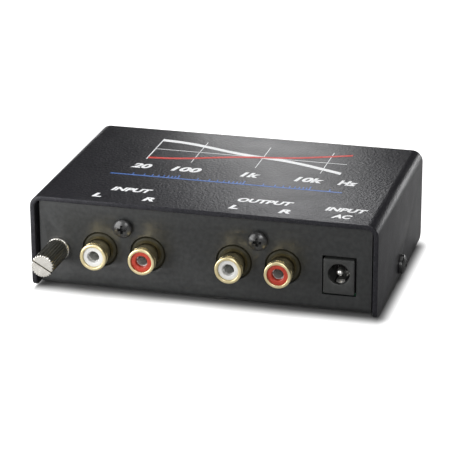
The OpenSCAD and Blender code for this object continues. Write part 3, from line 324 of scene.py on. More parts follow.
# %% Table of small finishes
# name: dark shade, light shade, roughness from, to, metallic, grain size mm, grain depth mm
SMALL_FINISHES = {
    "black_screw_finish": (
        (0.045, 0.045, 0.045), (0.075, 0.075, 0.075), 0.24, 0.34, 0.6, 0.8, 0.004
    ),
    "rubber_finish": ((0.010, 0.010, 0.010), (0.018, 0.018, 0.017), 0.72, 0.86, 0.0, 0.5, 0.02),
    "black_plastic_finish": (
        (0.013, 0.014, 0.013), (0.021, 0.022, 0.021), 0.38, 0.50, 0.0, 0.6, 0.008
    ),
    "boss_plastic_finish": (
        (0.026, 0.024, 0.014), (0.034, 0.031, 0.019), 0.40, 0.50, 0.0, 0.6, 0.008
    ),
    "socket_plastic_finish": (
        (0.028, 0.029, 0.028), (0.038, 0.039, 0.038), 0.30, 0.42, 0.0, 0.6, 0.006
    ),
    "black_resin_finish": ((0.016, 0.016, 0.017), (0.024, 0.024, 0.025), 0.5, 0.6, 0.0, 0.2, 0.008),
    "white_plastic_finish": ((0.60, 0.60, 0.585), (0.66, 0.66, 0.645), 0.30, 0.40, 0.0, 1.2, 0.006),
    "red_plastic_finish": ((0.36, 0.030, 0.014), (0.46, 0.048, 0.024), 0.22, 0.32, 0.0, 1.2, 0.006),
    "tinned_finish": ((0.62, 0.62, 0.60), (0.78, 0.78, 0.75), 0.42, 0.55, 0.75, 0.7, 0.006),
    "spring_finish": ((0.74, 0.73, 0.70), (0.88, 0.87, 0.83), 0.34, 0.44, 1.0, 0.9, 0.004),
    "nickel_finish": ((0.58, 0.56, 0.52), (0.74, 0.72, 0.67), 0.14, 0.24, 1.0, 0.7, 0.004),
    "zinc_finish": ((0.52, 0.54, 0.56), (0.70, 0.71, 0.72), 0.3, 0.45, 1.0, 0.5, 0.008),
    "brass_finish": ((0.60, 0.43, 0.18), (0.74, 0.56, 0.26), 0.24, 0.36, 1.0, 0.8, 0.005),
    "green_wire_finish": ((0.02, 0.16, 0.05), (0.03, 0.22, 0.07), 0.42, 0.5, 0.0, 0.9, 0.006),
    "board_finish": ((0.005, 0.034, 0.016), (0.009, 0.052, 0.024), 0.28, 0.38, 0.0, 2.5, 0.01),
    "can_sleeve_finish": (
        (0.012, 0.014, 0.030), (0.020, 0.024, 0.045), 0.26, 0.36, 0.0, 1.5, 0.006
    ),
    "red_resin_finish": ((0.34, 0.030, 0.016), (0.46, 0.045, 0.024), 0.2, 0.3, 0.0, 0.9, 0.01),
    "blue_resin_finish": ((0.10, 0.26, 0.38), (0.16, 0.36, 0.50), 0.3, 0.4, 0.0, 0.7, 0.008),
    "lamp_finish": ((0.10, 0.16, 0.55), (0.16, 0.24, 0.72), 0.08, 0.14, 0.0, 1.0, 0.002),
    "white_ink": ((0.88, 0.89, 0.90), (0.94, 0.95, 0.96), 0.42, 0.55, 0.0, 0.4, 0.004),
    "red_ink": ((0.52, 0.020, 0.012), (0.66, 0.030, 0.018), 0.42, 0.55, 0.0, 0.4, 0.004),
    "blue_ink": ((0.035, 0.115, 0.38), (0.055, 0.16, 0.48), 0.42, 0.55, 0.0, 0.4, 0.004),
}


def small_finish(name):
    dark, light, smooth, rough, metallic, size_mm, depth_mm = SMALL_FINISHES[name]
    finish = start_finish(name, light, rough, metallic)
    place = surface_place(finish)
    mottle(finish, place, 2 * size_mm, dark, light)
    smudge(finish, place, 3 * size_mm, smooth, rough)
    grain(finish, noise_of(finish, place, size_mm), depth_mm)
    return finish


FINISHES = {name: small_finish(name) for name in SMALL_FINISHES}
print(len(FINISHES), "small finishes")

# %% [markdown]
# ## A finish for every part of the frame
# The record that comes with the frame says what each part is made of. Each of those slots
# gets one finish here, so that no part inside the case, or under it, is left plain.

# %% Finishes for the frame's own parts
STEELS = {"black_textured_steel": coat, "black_panel_steel": paint}
# slot: finish, where the two differ in name
OTHER_NAMES = {
    "black_rubber": "rubber", "tinned_metal": "tinned", "spring_metal": "spring",
    "gold_plate": "brass", "raw_brass": "brass", "zinc_steel": "zinc", "green_board": "board",
    "capacitor_sleeve": "can_sleeve", "lamp_resin": "lamp",
}
SLOT_OF = {part["node"]: part["material_slot"] for part in frame["record"]["subparts"]}


def finish_of(slot):
    return STEELS.get(slot) or FINISHES[OTHER_NAMES.get(slot, slot) + "_finish"]


def wear(piece, finish):
    piece.data.materials.clear()
    piece.data.materials.append(finish)


for node, part in frame["nodes"].items():
    wear(part, finish_of(SLOT_OF[node]))
print("dressed", len(frame["nodes"]), "parts of the frame")

# %% [markdown]
# ## Working in edit mode without hands
# By hand, faces and edges are clicked. In a script they are chosen by where they are or which
# way they face, and that still works when a size changes.

# %% Choosing faces, edges and corners
TINY = 0.01 * MM


def edit(piece, kind="FACE"):
    take(piece)
    bpy.ops.object.mode_set(mode="EDIT")
    bpy.ops.mesh.select_mode(type=kind)
    bpy.ops.mesh.select_all(action="DESELECT")


def middle_and_way(edge):
    start, end = (corner.co for corner in edge.verts)
    return (start + end) / 2, (end - start).normalized()


def choose(piece, kind, test):
    """Selects faces by (centre, normal), edges by (middle, direction) or corners by (place)."""
    bpy.ops.mesh.select_mode(type=kind)
    bpy.ops.mesh.select_all(action="DESELECT")
    mesh = bmesh.from_edit_mesh(piece.data)
    if kind == "FACE":
        found = [f for f in mesh.faces if test(f.calc_center_median(), f.normal)]
    elif kind == "EDGE":
        found = [e for e in mesh.edges if test(*middle_and_way(e))]
    else:
        found = [v for v in mesh.verts if test(v.co)]
    for element in found:
        element.select = True
    mesh.select_flush_mode()
    bmesh.update_edit_mesh(piece.data)
    return len(found)


def leave_edit(piece):
    bpy.ops.object.mode_set(mode="OBJECT")
    return piece


def near(a, b):
    return abs(a - b) < TINY


# %% [markdown]
# ## Finishing a piece
# A few last steps are the same for each piece: modifiers are applied, the shading is made
# smooth up to an angle, the piece gets its finish, it is hung on the body it rides on, and
# the parts of the frame it stands for are hidden.

# %% Modifiers and the last steps
SHARP_DEGREES = 35


def apply_modifier(piece, kind, **settings):
    take(piece)
    made = piece.modifiers.new(kind.lower(), kind)
    for name, value in settings.items():
        setattr(made, name, value)
    bpy.ops.object.modifier_apply(modifier=made.name)
    return piece


def soften(piece, width_mm, segments=2):
    return apply_modifier(
        piece, "BEVEL", width=width_mm * MM, segments=segments, use_clamp_overlap=True,
        limit_method="ANGLE", angle_limit=math.radians(SHARP_DEGREES),
    )


def cut_with(piece, cutter):
    apply_modifier(piece, "BOOLEAN", object=cutter, operation="DIFFERENCE", solver="EXACT")
    bpy.data.objects.remove(cutter)
    return piece


def join(pieces):
    take(pieces[0])
    for other in pieces[1:]:
        other.select_set(True)
    bpy.ops.object.join()
    return pieces[0]


def twin(piece, move=(0, 0, 0), turn=0.0):
    """A copy with its own mesh, turned about the vertical axis and then moved."""
    other = bpy.data.objects.new(piece.name, piece.data.copy())
    bpy.context.collection.objects.link(other)
    other.matrix_world = Matrix.Translation(move) @ Matrix.Rotation(math.radians(turn), 4, "Z")
    return settle(other)


def finish_piece(piece, name, finish, body="case", nodes=(), smooth=30):
    piece.name = piece.data.name = name
    settle(piece)
    wear(piece, finish)
    bpy.ops.object.shade_smooth_by_angle(angle=math.radians(smooth))
    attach(piece, body)
    if nodes:
        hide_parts(*nodes)
    print(name, len(piece.data.polygons), "faces")
    return piece


# %% [markdown]
# ## Softened copies
# A part whose shape in the frame is already right only lacks what every real edge has, a tiny
# radius that catches a line of light. Such a part is copied, its loose triangles are merged
# and its flat areas cleaned, and then its edges are bevelled.

# %% Copy a part of the frame and soften its edges
MERGE, FLAT_DEGREES = 0.0005 * MM, 0.3


def clean_copy(node):
    piece = bpy.data.objects.new(node + "_soft", frame["nodes"][node].data.copy())
    bpy.context.collection.objects.link(piece)
    edit(piece, "VERT")
    bpy.ops.mesh.select_all(action="SELECT")
    bpy.ops.mesh.remove_doubles(threshold=MERGE)
    bpy.ops.mesh.dissolve_limited(angle_limit=math.radians(FLAT_DEGREES))
    return leave_edit(piece)


def softened_copy(node, width_mm):
    return soften(clean_copy(node), width_mm)


# %% [markdown]
# ## The lid
# The lid is one sheet of 1.5 mm steel, folded down at both sides and open at both ends. The
# way to model it is the way it is made: a block loses its bottom and its two ends, the two
# fold lines are rounded, the lower corners are cut round, and only then does the skin get
# its thickness, so that the inside of the fold comes out right by itself.

# %% Folded lid
SHEET_MM, FOLD_MM, CORNER_MM = 1.5, 3.5, 2.0


def folded_lid():
    low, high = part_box("top_cover")
    bpy.ops.mesh.primitive_cube_add(size=1, location=(low + high) / 2, scale=high - low)
    lid = settle(bpy.context.object)
    edit(lid)
    choose(lid, "FACE", lambda c, n: n.z < -0.5 or abs(n.y) > 0.5)
    bpy.ops.mesh.delete(type="FACE")
    choose(lid, "EDGE", lambda c, d: near(c.z, high.z) and abs(d.y) > 0.9)
    bpy.ops.mesh.bevel(offset=FOLD_MM * MM, segments=10, affect="EDGES")
    choose(lid, "VERT", lambda c: near(c.z, low.z))
    bpy.ops.mesh.bevel(offset=CORNER_MM * MM, segments=6, affect="VERTICES")
    leave_edit(lid)
    apply_modifier(lid, "SOLIDIFY", thickness=SHEET_MM * MM, offset=-1, use_even_offset=True)
    return lid


lid = folded_lid()
print("lid", lid.dimensions / MM)

# %% [markdown]
# Each side has one hole for a screw. A cutter of the screw's own clearance goes through both
# sides in one stroke, and a fine bevel then breaks all the cut edges of the sheet.

# %% Screw holes and broken edges of the lid
SCREW_HOLE_MM, BROKEN_EDGE_MM = 3.4, 0.28
screw_low, screw_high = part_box("cover_screws")
screw_middle = (screw_low + screw_high) / 2
bpy.ops.mesh.primitive_cylinder_add(
    vertices=48, radius=SCREW_HOLE_MM / 2 * MM, depth=2 * (screw_high.x - screw_low.x),
    location=screw_middle, rotation=(0, math.pi / 2, 0),
)
cut_with(lid, settle(bpy.context.object))
soften(lid, BROKEN_EDGE_MM, 3)
finish_piece(lid, "folded_lid", coat, nodes=["top_cover"])

# %% [markdown]
# ## Chassis and plastic blocks
# These come from the frame as softened copies. The chassis carries the round holes for the
# sockets, and its edges are broken less than the lid's. Folded sheet is never quite square:
# the socket panel stands a little nearer to the right wall of the lid than to the left one.

# %% Softened chassis and housings
PANEL_LEAN_MM, PANEL_DEEP_MM = 0.3, 1.8
CHASSIS_EDGE_MM, BLOCK_EDGE_MM = 0.12, 0.15
chassis = softened_copy("base_chassis", CHASSIS_EDGE_MM)
chassis_low, chassis_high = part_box("base_chassis")
panel_back = chassis_low.y + PANEL_DEEP_MM * MM
edit(chassis)
choose(chassis, "VERT", lambda c: c.x > chassis_high.x - MM and c.y < panel_back)
bpy.ops.transform.translate(value=(PANEL_LEAN_MM * MM, 0, 0))
leave_edit(chassis)
finish_piece(chassis, "folded_chassis", paint, nodes=["base_chassis"])
boss_finish = FINISHES["boss_plastic_finish"]
shader_of(boss_finish).inputs["Specular IOR Level"].default_value = 0.2
for pair in ("input", "output"):
    node = pair + "_socket_housing"
    block = softened_copy(node, BLOCK_EDGE_MM)
    finish_piece(block, pair + "_socket_block", boss_finish, nodes=[node])

# %% [markdown]
# The power socket's face stands a little proud of the panel. It is rounded all round, also
# at its plug hole, to lead the plug in. The face is chosen by its normal and pushed back.
# Then it comes forward again in two steps, each after an inset, so that the outline and the
# hole's rim get the same rounding at once, whatever faces the front is made of.

# %% Power socket with a rounded face
FACE_STEPS_MM = [(0.10, 0.20), (0.22, 0.10)]  # inwards, forwards
power_block = clean_copy("power_socket_housing")
power_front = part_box("power_socket_housing")[0].y
edit(power_block)
choose(power_block, "FACE", lambda c, n: n.y < -0.9 and near(c.y, power_front))
back_mm = sum(forwards for _, forwards in FACE_STEPS_MM)
bpy.ops.transform.translate(value=(0, back_mm * MM, 0))
for inwards, forwards in FACE_STEPS_MM:
    bpy.ops.mesh.inset(thickness=inwards * MM)
    bpy.ops.transform.translate(value=(0, -forwards * MM, 0))
leave_edit(power_block)
finish_piece(
    power_block, "power_socket_block", FINISHES["socket_plastic_finish"],
    nodes=["power_socket_housing"],
)

# %% [markdown]
# ## Turned pieces
# Sleeves, screw heads and washers are turned on a lathe, and Blender's spin does the same: one
# outline of half the section is drawn corner by corner, and swept round the axis. All of them
# are turned about the Y axis, front end towards the camera, and moved into place afterwards.

# %% Spin an outline round an axis
def arc(centre, radius, start, end, steps):
    """Points of an arc in (distance from the axis, place along it), angles in degrees."""
    return [
        (centre[0] + radius * math.cos(math.radians(start + (end - start) * i / steps)),
         centre[1] + radius * math.sin(math.radians(start + (end - start) * i / steps)))
        for i in range(steps + 1)
    ]


def turned(outline_mm, steps=64, closed=False):
    """Spins an outline of (radius, depth) in mm. Depth counts backwards from the front end."""
    points = [Vector((r, depth, 0)) * MM for r, depth in outline_mm]
    if closed:
        points.append(points[0])
    bpy.ops.mesh.primitive_plane_add(size=MM, location=points[0])
    piece = settle(bpy.context.object)
    edit(piece, "VERT")
    mesh = bmesh.from_edit_mesh(piece.data)
    mesh.verts.ensure_lookup_table()
    mesh.verts[0].co = points[0]
    for corner in mesh.verts[1:]:
        corner.select = True
    bmesh.update_edit_mesh(piece.data)
    bpy.ops.mesh.delete(type="VERT")
    bpy.ops.mesh.select_all(action="SELECT")
    for here, there in zip(points, points[1:]):
        bpy.ops.mesh.extrude_region_move(TRANSFORM_OT_translate={"value": there - here})
    bpy.ops.mesh.select_all(action="SELECT")
    bpy.ops.mesh.spin(steps=steps, angle=2 * math.pi, center=(0, 0, 0), axis=(0, 1, 0))
    bpy.ops.mesh.select_all(action="SELECT")
    bpy.ops.mesh.remove_doubles(threshold=MERGE)
    bpy.ops.mesh.normals_make_consistent(inside=False)
    return leave_edit(piece)


def front_middle(node):
    """The middle of the front end of a part of the frame."""
    low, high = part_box(node)
    return Vector(((low.x + high.x) / 2, low.y, (low.z + high.z) / 2))


# %% [markdown]
# ## Gold sleeves
# Each phono socket is a gold plated tube. What makes it read as a real one are the rolled lip
# that catches the light, the fine groove just behind it and the soft mouth of the bore. The
# outline is drawn once, turned once and copied to the four sockets.

# %% Outline of a sleeve
SOCKETS = [pair + "_" + side for pair in ("input", "output") for side in ("left", "right")]
BORE_MM, LIP_MM, GROOVE_AT_MM, GROOVE_W_MM, GROOVE_DEEP_MM = 3.2, 0.4, 1.15, 0.3, 0.2
MOUTH_MM, NECK_MM, REACH_MM = 0.2, 3.9, 7.2
EDGE_MM, FLOOR_EDGE_MM = 0.05, 0.04
LIP_DEEP_MM, LIP_ROUGH, BARREL_ROUGH = 0.8, 0.32, 0.19

sleeve_low, sleeve_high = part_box("input_left_sleeve")
sleeve_r = (sleeve_high.x - sleeve_low.x) / 2 / MM
sleeve_len = (sleeve_high.y - sleeve_low.y) / MM
groove_in = sleeve_r - GROOVE_DEEP_MM
groove_end = GROOVE_AT_MM + GROOVE_W_MM

sleeve_outline = (
    arc((BORE_MM + MOUTH_MM, MOUTH_MM), MOUTH_MM, 180, 270, 4)
    + arc((sleeve_r - LIP_MM, LIP_MM), LIP_MM, -90, 0, 8)
    + [(sleeve_r, GROOVE_AT_MM - EDGE_MM), (sleeve_r - EDGE_MM, GROOVE_AT_MM)]
    + [(groove_in, GROOVE_AT_MM + FLOOR_EDGE_MM), (groove_in, groove_end - FLOOR_EDGE_MM)]
    + [(sleeve_r - EDGE_MM, groove_end), (sleeve_r, groove_end + EDGE_MM)]
    + [(sleeve_r, REACH_MM), (NECK_MM, REACH_MM), (NECK_MM, sleeve_len), (BORE_MM, sleeve_len)]
)
print("sleeve radius", sleeve_r, "length", sleeve_len)

# %% Turn the sleeve and copy it to the four sockets
sleeve = turned(sleeve_outline, steps=96, closed=True)
for socket in SOCKETS:
    centre = front_middle(socket + "_sleeve")
    gold = turned_finish(
        "gold_" + socket, GOLD, GOLD_DARK, centre, LIP_ROUGH, BARREL_ROUGH, LIP_DEEP_MM
    )
    finish_piece(twin(sleeve, centre), "gold_sleeve_" + socket, gold, nodes=[socket + "_sleeve"])
bpy.data.objects.remove(sleeve)

# %% [markdown]
# ## Insulators
# Inside each sleeve sits a moulded plug, white for the left channel and red for the right,
# with a hole in its face through which the centre contact shows. Moulded edges are rounder
# than turned ones, so the outline has small arcs at the face.

# %% Outline of an insulator
FACE_EDGE_MM, HOLE_EDGE_MM, HOLE_MM, CAVITY_MM, WALL_MM = 0.22, 0.3, 1.8, 2.09, 1.4
CAVITY_END_MM, STEM_MM = 9.8, 0.83
core_low, core_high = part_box("input_left_insulator")
core_r = (core_high.x - core_low.x) / 2 / MM
core_len = (core_high.y - core_low.y) / MM
core_outline = (
    arc((HOLE_MM + HOLE_EDGE_MM, HOLE_EDGE_MM), HOLE_EDGE_MM, 180, 270, 4)
    + arc((core_r - FACE_EDGE_MM, FACE_EDGE_MM), FACE_EDGE_MM, -90, 0, 4)
    + [(core_r, core_len), (STEM_MM, core_len), (STEM_MM, CAVITY_END_MM)]
    + [(CAVITY_MM, CAVITY_END_MM), (CAVITY_MM, WALL_MM), (HOLE_MM, WALL_MM)]
)
print("insulator radius", core_r, "length", core_len)

# %% Turn the insulator and copy it
core = turned(core_outline, steps=96, closed=True)
for socket in SOCKETS:
    node = socket + "_insulator"
    hue = "white_plastic_finish" if "left" in socket else "red_plastic_finish"
    finish_piece(
        twin(core, front_middle(node)), "insulator_" + socket, FINISHES[hue], nodes=[node]
    )
bpy.data.objects.remove(core)

# %% [markdown]
# ## Centre contacts
# The contact is a split tube that grips the plug's pin. Its shape comes from the frame; a
# fine bevel on its slotted mouth is what shows through the hole in the insulator.

# %% Centre contacts
CONTACT_EDGE_MM = 0.06
for socket in SOCKETS:
    node = socket + "_contact"
    tube = softened_copy(node, CONTACT_EDGE_MM)
    finish_piece(tube, "contact_tube_" + socket, FINISHES["tinned_finish"], nodes=[node])

# %% [markdown]
# ## Black cross-head screws
# A pan head is a low dome with a rounded rim and a cross cut into it. The dome is turned, and
# the cross is made with two tapered cutters, because a real driver's recess narrows as it
# goes down.

# %% Turn a pan head and cut its cross
RIM_MM, HEAD_MM, UNDER_EDGE_MM = 1.1, 2.0, 0.15
DOME_INSET_MM, RIM_ROUND_MM, RIM_DROP_MM = 0.35, 0.42, 0.5
CROSS_LONG_MM, CROSS_WIDE_MM, CROSS_DEEP_MM = 3.8, 1.2, 1.5
CROSS_FLOOR = (0.5, 1, 0.55)  # how far the cross has narrowed at its floor


def pan_head(radius_mm, shank_mm, length_mm):
    rise = HEAD_MM - RIM_MM
    ball = (radius_mm ** 2 + rise ** 2) / (2 * rise)
    spread = math.degrees(math.asin((radius_mm - DOME_INSET_MM) / ball))
    dome = arc((0, ball), ball, -90, -90 + spread, 8)
    dome[0] = (0, 0)
    rim_at = (radius_mm - RIM_ROUND_MM, dome[-1][1] + RIM_DROP_MM)
    rim = arc(rim_at, RIM_ROUND_MM, -50, 0, 4)
    head = turned(
        dome + rim + [(radius_mm, HEAD_MM - UNDER_EDGE_MM), (radius_mm - UNDER_EDGE_MM, HEAD_MM)]
        + [(shank_mm, HEAD_MM), (shank_mm, HEAD_MM + length_mm), (0, HEAD_MM + length_mm)]
    )
    for turn in (0, 90):
        head = cut_with(head, cross_arm(turn))
    return head


def cross_arm(turn):
    """One arm of the cross as a wedge that narrows towards its floor."""
    bpy.ops.mesh.primitive_cube_add(
        size=1, location=(0, 0, 0),
        scale=(CROSS_LONG_MM * MM, 2 * CROSS_DEEP_MM * MM, CROSS_WIDE_MM * MM),
    )
    arm = settle(bpy.context.object)
    edit(arm)
    choose(arm, "FACE", lambda c, n: n.y > 0.5)
    bpy.ops.transform.resize(value=CROSS_FLOOR)
    leave_edit(arm)
    arm.rotation_euler = (0, math.radians(turn), 0)
    return settle(arm)


# %% Screws of the panel and of the lid
PANEL_SHANK_MM, SIDE_SHANK_MM, SIDE_LONG_MM = 1.5, 1.4, 3.0
low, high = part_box("socket_screws")
jack_screw_z = (low.z + high.z) / 2
panel_head = pan_head(
    (high.z - low.z) / 2 / MM, PANEL_SHANK_MM, (high.y - low.y) / MM - HEAD_MM
)
screw_x = [front_middle(pair + "_socket_housing").x for pair in ("input", "output")]
panel_screws = join([twin(panel_head, (x, low.y, jack_screw_z)) for x in screw_x])
finish_piece(panel_screws, "panel_screws", FINISHES["black_screw_finish"], nodes=["socket_screws"])
bpy.data.objects.remove(panel_head)

side_head = pan_head((screw_high.z - screw_low.z) / 2 / MM, SIDE_SHANK_MM, SIDE_LONG_MM)
lid_screws = join([
    twin(side_head, (screw_high.x, screw_middle.y, screw_middle.z), 90),
    twin(side_head, (screw_low.x, screw_middle.y, screw_middle.z), -90),
])
finish_piece(lid_screws, "lid_screws", FINISHES["black_screw_finish"], nodes=["cover_screws"])
bpy.data.objects.remove(side_head)

# %% [markdown]
# ## The ground screw
# The ground terminal is a long knurled thumb screw with a slot across its end. Straight
# knurling is a row of V-shaped flutes. A cylinder with six corners to a flute is enough: one
# corner of each six is pulled in, and its neighbours a little.

# %% Knurled barrel
FLUTES, CORNERS, KNURL_MM, KNOB_MM, KNOB_BEVEL_MM = 26, 6, 0.32, 14.1, 0.4
BESIDE_FLUTE = 0.45  # how deep a flute's neighbours lie, as a share of its depth
THREAD_MM = 2.0
low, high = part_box("ground_screw")
ground_centre = front_middle("ground_screw")
knob_r = (high.x - low.x) / 2
shank_len = (high.y - low.y) / MM - KNOB_MM


def knurled_barrel():
    bpy.ops.mesh.primitive_cylinder_add(
        vertices=FLUTES * CORNERS, radius=knob_r, depth=KNOB_MM * MM,
        location=(0, KNOB_MM * MM / 2, 0), rotation=(math.pi / 2, 0, 0),
    )
    barrel = settle(bpy.context.object)
    edit(barrel)
    for step, depth in ((0, 1.0), (1, BESIDE_FLUTE), (CORNERS - 1, BESIDE_FLUTE)):
        choose(barrel, "VERT", lambda c: flute_step(c) == step)
        pull_in(depth * KNURL_MM)
    for back_mm in (KNOB_BEVEL_MM, KNOB_BEVEL_MM / 3):
        bpy.ops.mesh.select_all(action="SELECT")
        bpy.ops.mesh.bisect(plane_co=(0, back_mm * MM, 0), plane_no=(0, 1, 0))
        choose(barrel, "VERT", lambda c: c.y < back_mm * MM - TINY)
        pull_in((KNOB_BEVEL_MM + KNOB_BEVEL_MM / 3 - back_mm) / 2)
    choose(barrel, "FACE", lambda c, n: n.y > 0.9)
    bpy.ops.mesh.inset(thickness=knob_r - THREAD_MM * MM)
    return leave_edit(barrel)


def pull_in(depth_mm):
    """Brings the chosen corners nearer to the axis."""
    factor = 1 - depth_mm * MM / knob_r
    bpy.ops.transform.resize(value=(factor, 1, factor), center_override=(0, 0, 0))


def flute_step(corner):
    turn = math.atan2(corner.x, corner.z) / (2 * math.pi) * FLUTES * CORNERS
    return round(turn) % CORNERS


barrel = knurled_barrel()
print("knurled barrel", barrel.dimensions / MM)

# %% [markdown]
# The slot for a coin or a driver runs from the upper left to the lower right of the end face,
# and the thread behind the barrel is turned as fine ridges.

# %% Slot and thread
SLOT_W_MM, SLOT_DEEP_MM, SLOT_TURN = 0.42, 1.2, 30
THREAD_STEP_MM, RIDGE_MM, THREAD_IN_MM = 0.7, 0.22, 0.4
PLAIN_MM, TIP_MM = 1.0, 0.3
bpy.ops.mesh.primitive_cube_add(
    size=1, scale=(4 * knob_r, 2 * SLOT_DEEP_MM * MM, SLOT_W_MM * MM)
)
slot_cutter = bpy.context.object
slot_cutter.rotation_euler = (0, math.radians(SLOT_TURN), 0)
cut_with(barrel, settle(slot_cutter))

thread_start, thread_end = KNOB_MM - THREAD_IN_MM, KNOB_MM + shank_len
depth = KNOB_MM + PLAIN_MM
ridges = [(0, thread_start), (THREAD_MM, thread_start), (THREAD_MM, depth)]
while depth + THREAD_STEP_MM < thread_end - TIP_MM:
    ridges.append((THREAD_MM - RIDGE_MM, depth + THREAD_STEP_MM / 2))
    ridges.append((THREAD_MM, depth + THREAD_STEP_MM))
    depth += THREAD_STEP_MM
ridges += [(THREAD_MM - TIP_MM, thread_end), (0, thread_end)]
thread = turned(ridges, steps=40)
ground = join([barrel, thread])
ground.location = ground_centre
print("thread of", len(ridges), "corners")

# %% [markdown]
# The barrel's colour is painted dark, a painted dark reflection standing in for the dark
# surroundings the knurled barrel mirrors, while the end face is bright bare metal where it was
# faced off. One finish does both: the distance from the end decides which of the two shows.

# %% Finish of the ground screw
# the last of these is the colour of the barrel's painted dark reflection
KNOB_ROUGH, BRIGHT_MM, PAINTED_DARK_REFLECTION = 0.26, 0.8, (0.34, 0.33, 0.29)
BRIGHT_FADE_MM = 0.1


def ground_finish():
    finish = turned_finish("knurled_nickel", NICKEL, NICKEL_DARK, ground_centre, KNOB_ROUGH)
    behind = ramp(
        finish, axes_of(finish, surface_place(finish))["Y"],
        ground_centre.y + (BRIGHT_MM - BRIGHT_FADE_MM) * MM,
        ground_centre.y + (BRIGHT_MM + BRIGHT_FADE_MM) * MM,
    )
    bright = shader_of(finish).inputs["Base Color"].links[0].from_socket
    # painted dark reflection: behind the end face the base colour is blended to a dark grey
    blend(finish, behind, bright, PAINTED_DARK_REFLECTION)
    return finish


finish_piece(
    ground, "knurled_ground_screw", ground_finish(), "terminal_screw", ["ground_screw"],
    smooth=25,
)

# %% [markdown]
# ## Washer, plug pin and spring leaf
# The washer is stamped, so one of its edges is round and the other sharp. The power socket's
# pin and leaf keep the frame's shape with their edges broken.

# %% Washer
WASHER_SLACK_MM, WASHER_HOLE_MM, WASHER_ROUGH = 0.35, 2.15, 0.3
HOLE_BREAK_MM, WASHER_ROUND_MM = 0.1, 0.4
low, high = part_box("ground_washer")
washer_r = (high.x - low.x) / 2 / MM - WASHER_SLACK_MM
washer_t = (high.y - low.y) / MM
washer = turned(
    [(WASHER_HOLE_MM, HOLE_BREAK_MM), (WASHER_HOLE_MM + HOLE_BREAK_MM, 0)]
    + arc((washer_r - WASHER_ROUND_MM, WASHER_ROUND_MM), WASHER_ROUND_MM, -90, 0, 5)
    + [(washer_r, washer_t - EDGE_MM), (washer_r - EDGE_MM, washer_t)]
    + [(WASHER_HOLE_MM, washer_t)],
    steps=72, closed=True,
)
washer.location = front_middle("ground_washer")
washer_finish = turned_finish(
    "washer_nickel", NICKEL, NICKEL_DARK, front_middle("ground_washer"), WASHER_ROUGH
)
finish_piece(washer, "plated_washer", washer_finish, "terminal_washer", ["ground_washer"])

# %% Plug pin and spring leaf
PLUG_EDGE_MM = 0.05
pin = softened_copy("power_socket_pin", PLUG_EDGE_MM)
finish_piece(pin, "plug_pin", FINISHES["spring_finish"], nodes=["power_socket_pin"])
leaf = softened_copy("power_socket_leaf", PLUG_EDGE_MM)
finish_piece(leaf, "spring_leaf", FINISHES["spring_finish"], "socket_leaf", ["power_socket_leaf"])

# %% [markdown]
# ## Rubber feet
# Four stick-on feet lift the case off the shelf. Each is a low turned disc with a rounded
# rim and a shallow dish underneath, which is how moulded feet come.

# %% Feet
FOOT_MM, FOOT_ROUND_MM = 4.5, 0.4
DISH_MM, DISH_FLOOR_MM, DISH_RIM_MM = 0.35, 1.6, 1.3  # its depth, and its edge from the foot's
low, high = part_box("rubber_feet")
foot_h = (high.z - low.z) / MM
foot = turned(
    [(0, DISH_MM), (FOOT_MM - DISH_FLOOR_MM, DISH_MM), (FOOT_MM - DISH_RIM_MM, 0)]
    + arc((FOOT_MM - FOOT_ROUND_MM, FOOT_ROUND_MM), FOOT_ROUND_MM, -90, 0, 5)
    + [(FOOT_MM, foot_h), (0, foot_h)],
    steps=48,
)
foot.rotation_euler = (math.radians(90), 0, 0)
settle(foot)
corners = [
    (x, y, low.z)
    for x in (low.x + FOOT_MM * MM, high.x - FOOT_MM * MM)
    for y in (low.y + FOOT_MM * MM, high.y - FOOT_MM * MM)
]
feet = join([twin(foot, corner) for corner in corners])
finish_piece(feet, "rubber_feet_moulded", FINISHES["rubber_finish"], nodes=["rubber_feet"])
bpy.data.objects.remove(foot)

# %% [markdown]
# ## Printing on the lid
# The lid is screen printed. Ink has a little thickness and its own sheen, so it is a thin
# skin of mesh on the coat, not a picture. The words are only what any such box says next to
# its sockets. Each is set in Blender's own letters, made a mesh, and then stretched to the
# width and height of its place, slanted a little as the print is.

# %% Set a word in ink
lid_top = cad_high.z
INK_MM, SLANT, LETTER_WEIGHT = 0.02, 0.22, 0.045


def thin_skin(piece, thick_mm=INK_MM):
    apply_modifier(piece, "SOLIDIFY", thickness=thick_mm * MM, offset=1)
    return piece


def printed_word(words, left_mm, right_mm, base_mm, cap_mm):
    bpy.ops.object.text_add(location=(0, 0, 0))
    word = bpy.context.object
    word.data.body = words
    word.data.shear = SLANT
    word.data.offset = LETTER_WEIGHT
    word.data.resolution_u = 4
    bpy.ops.object.convert(target="MESH")
    word = bpy.context.object
    xs = [v.co.x for v in word.data.vertices]
    ys = [v.co.y for v in word.data.vertices]
    wide = (right_mm - left_mm) * MM / (max(xs) - min(xs))
    tall = cap_mm * MM / (max(ys) - min(ys))
    word.scale = (wide, tall, 1)
    word.location = (left_mm * MM - min(xs) * wide, base_mm * MM - min(ys) * tall, lid_top)
    return thin_skin(settle(word))


# %% Words beside the sockets
# words: left, right, base line and height of the capitals, in mm on the lid
SOCKET_WORDS = [
    ("INPUT", -31.2, -18.6, -17.9, 3.2),
    ("L", -35.2, -32.2, -24.5, 3.2),
    ("R", -19.4, -15.8, -24.5, 3.2),
    ("OUTPUT", 8.2, 25.2, -18.0, 3.2),
    ("L", 7.2, 10.2, -24.5, 3.2),
    ("R", 22.4, 26.0, -24.5, 3.2),
    ("INPUT", 35.3, 47.9, -19.1, 3.2),
    ("AC", 38.4, 44.4, -24.6, 3.2),
]
socket_words = join([printed_word(*entry) for entry in SOCKET_WORDS])
finish_piece(socket_words, "socket_words", FINISHES["white_ink"])

# %% [markdown]
# ## A plain technical print
# The wide space on the lid carries a drawing of what the box does: the playback curve that
# every phono stage follows, falling from the low notes to the high ones, with the cutting
# curve rising against it. Both come from the three standard time constants.

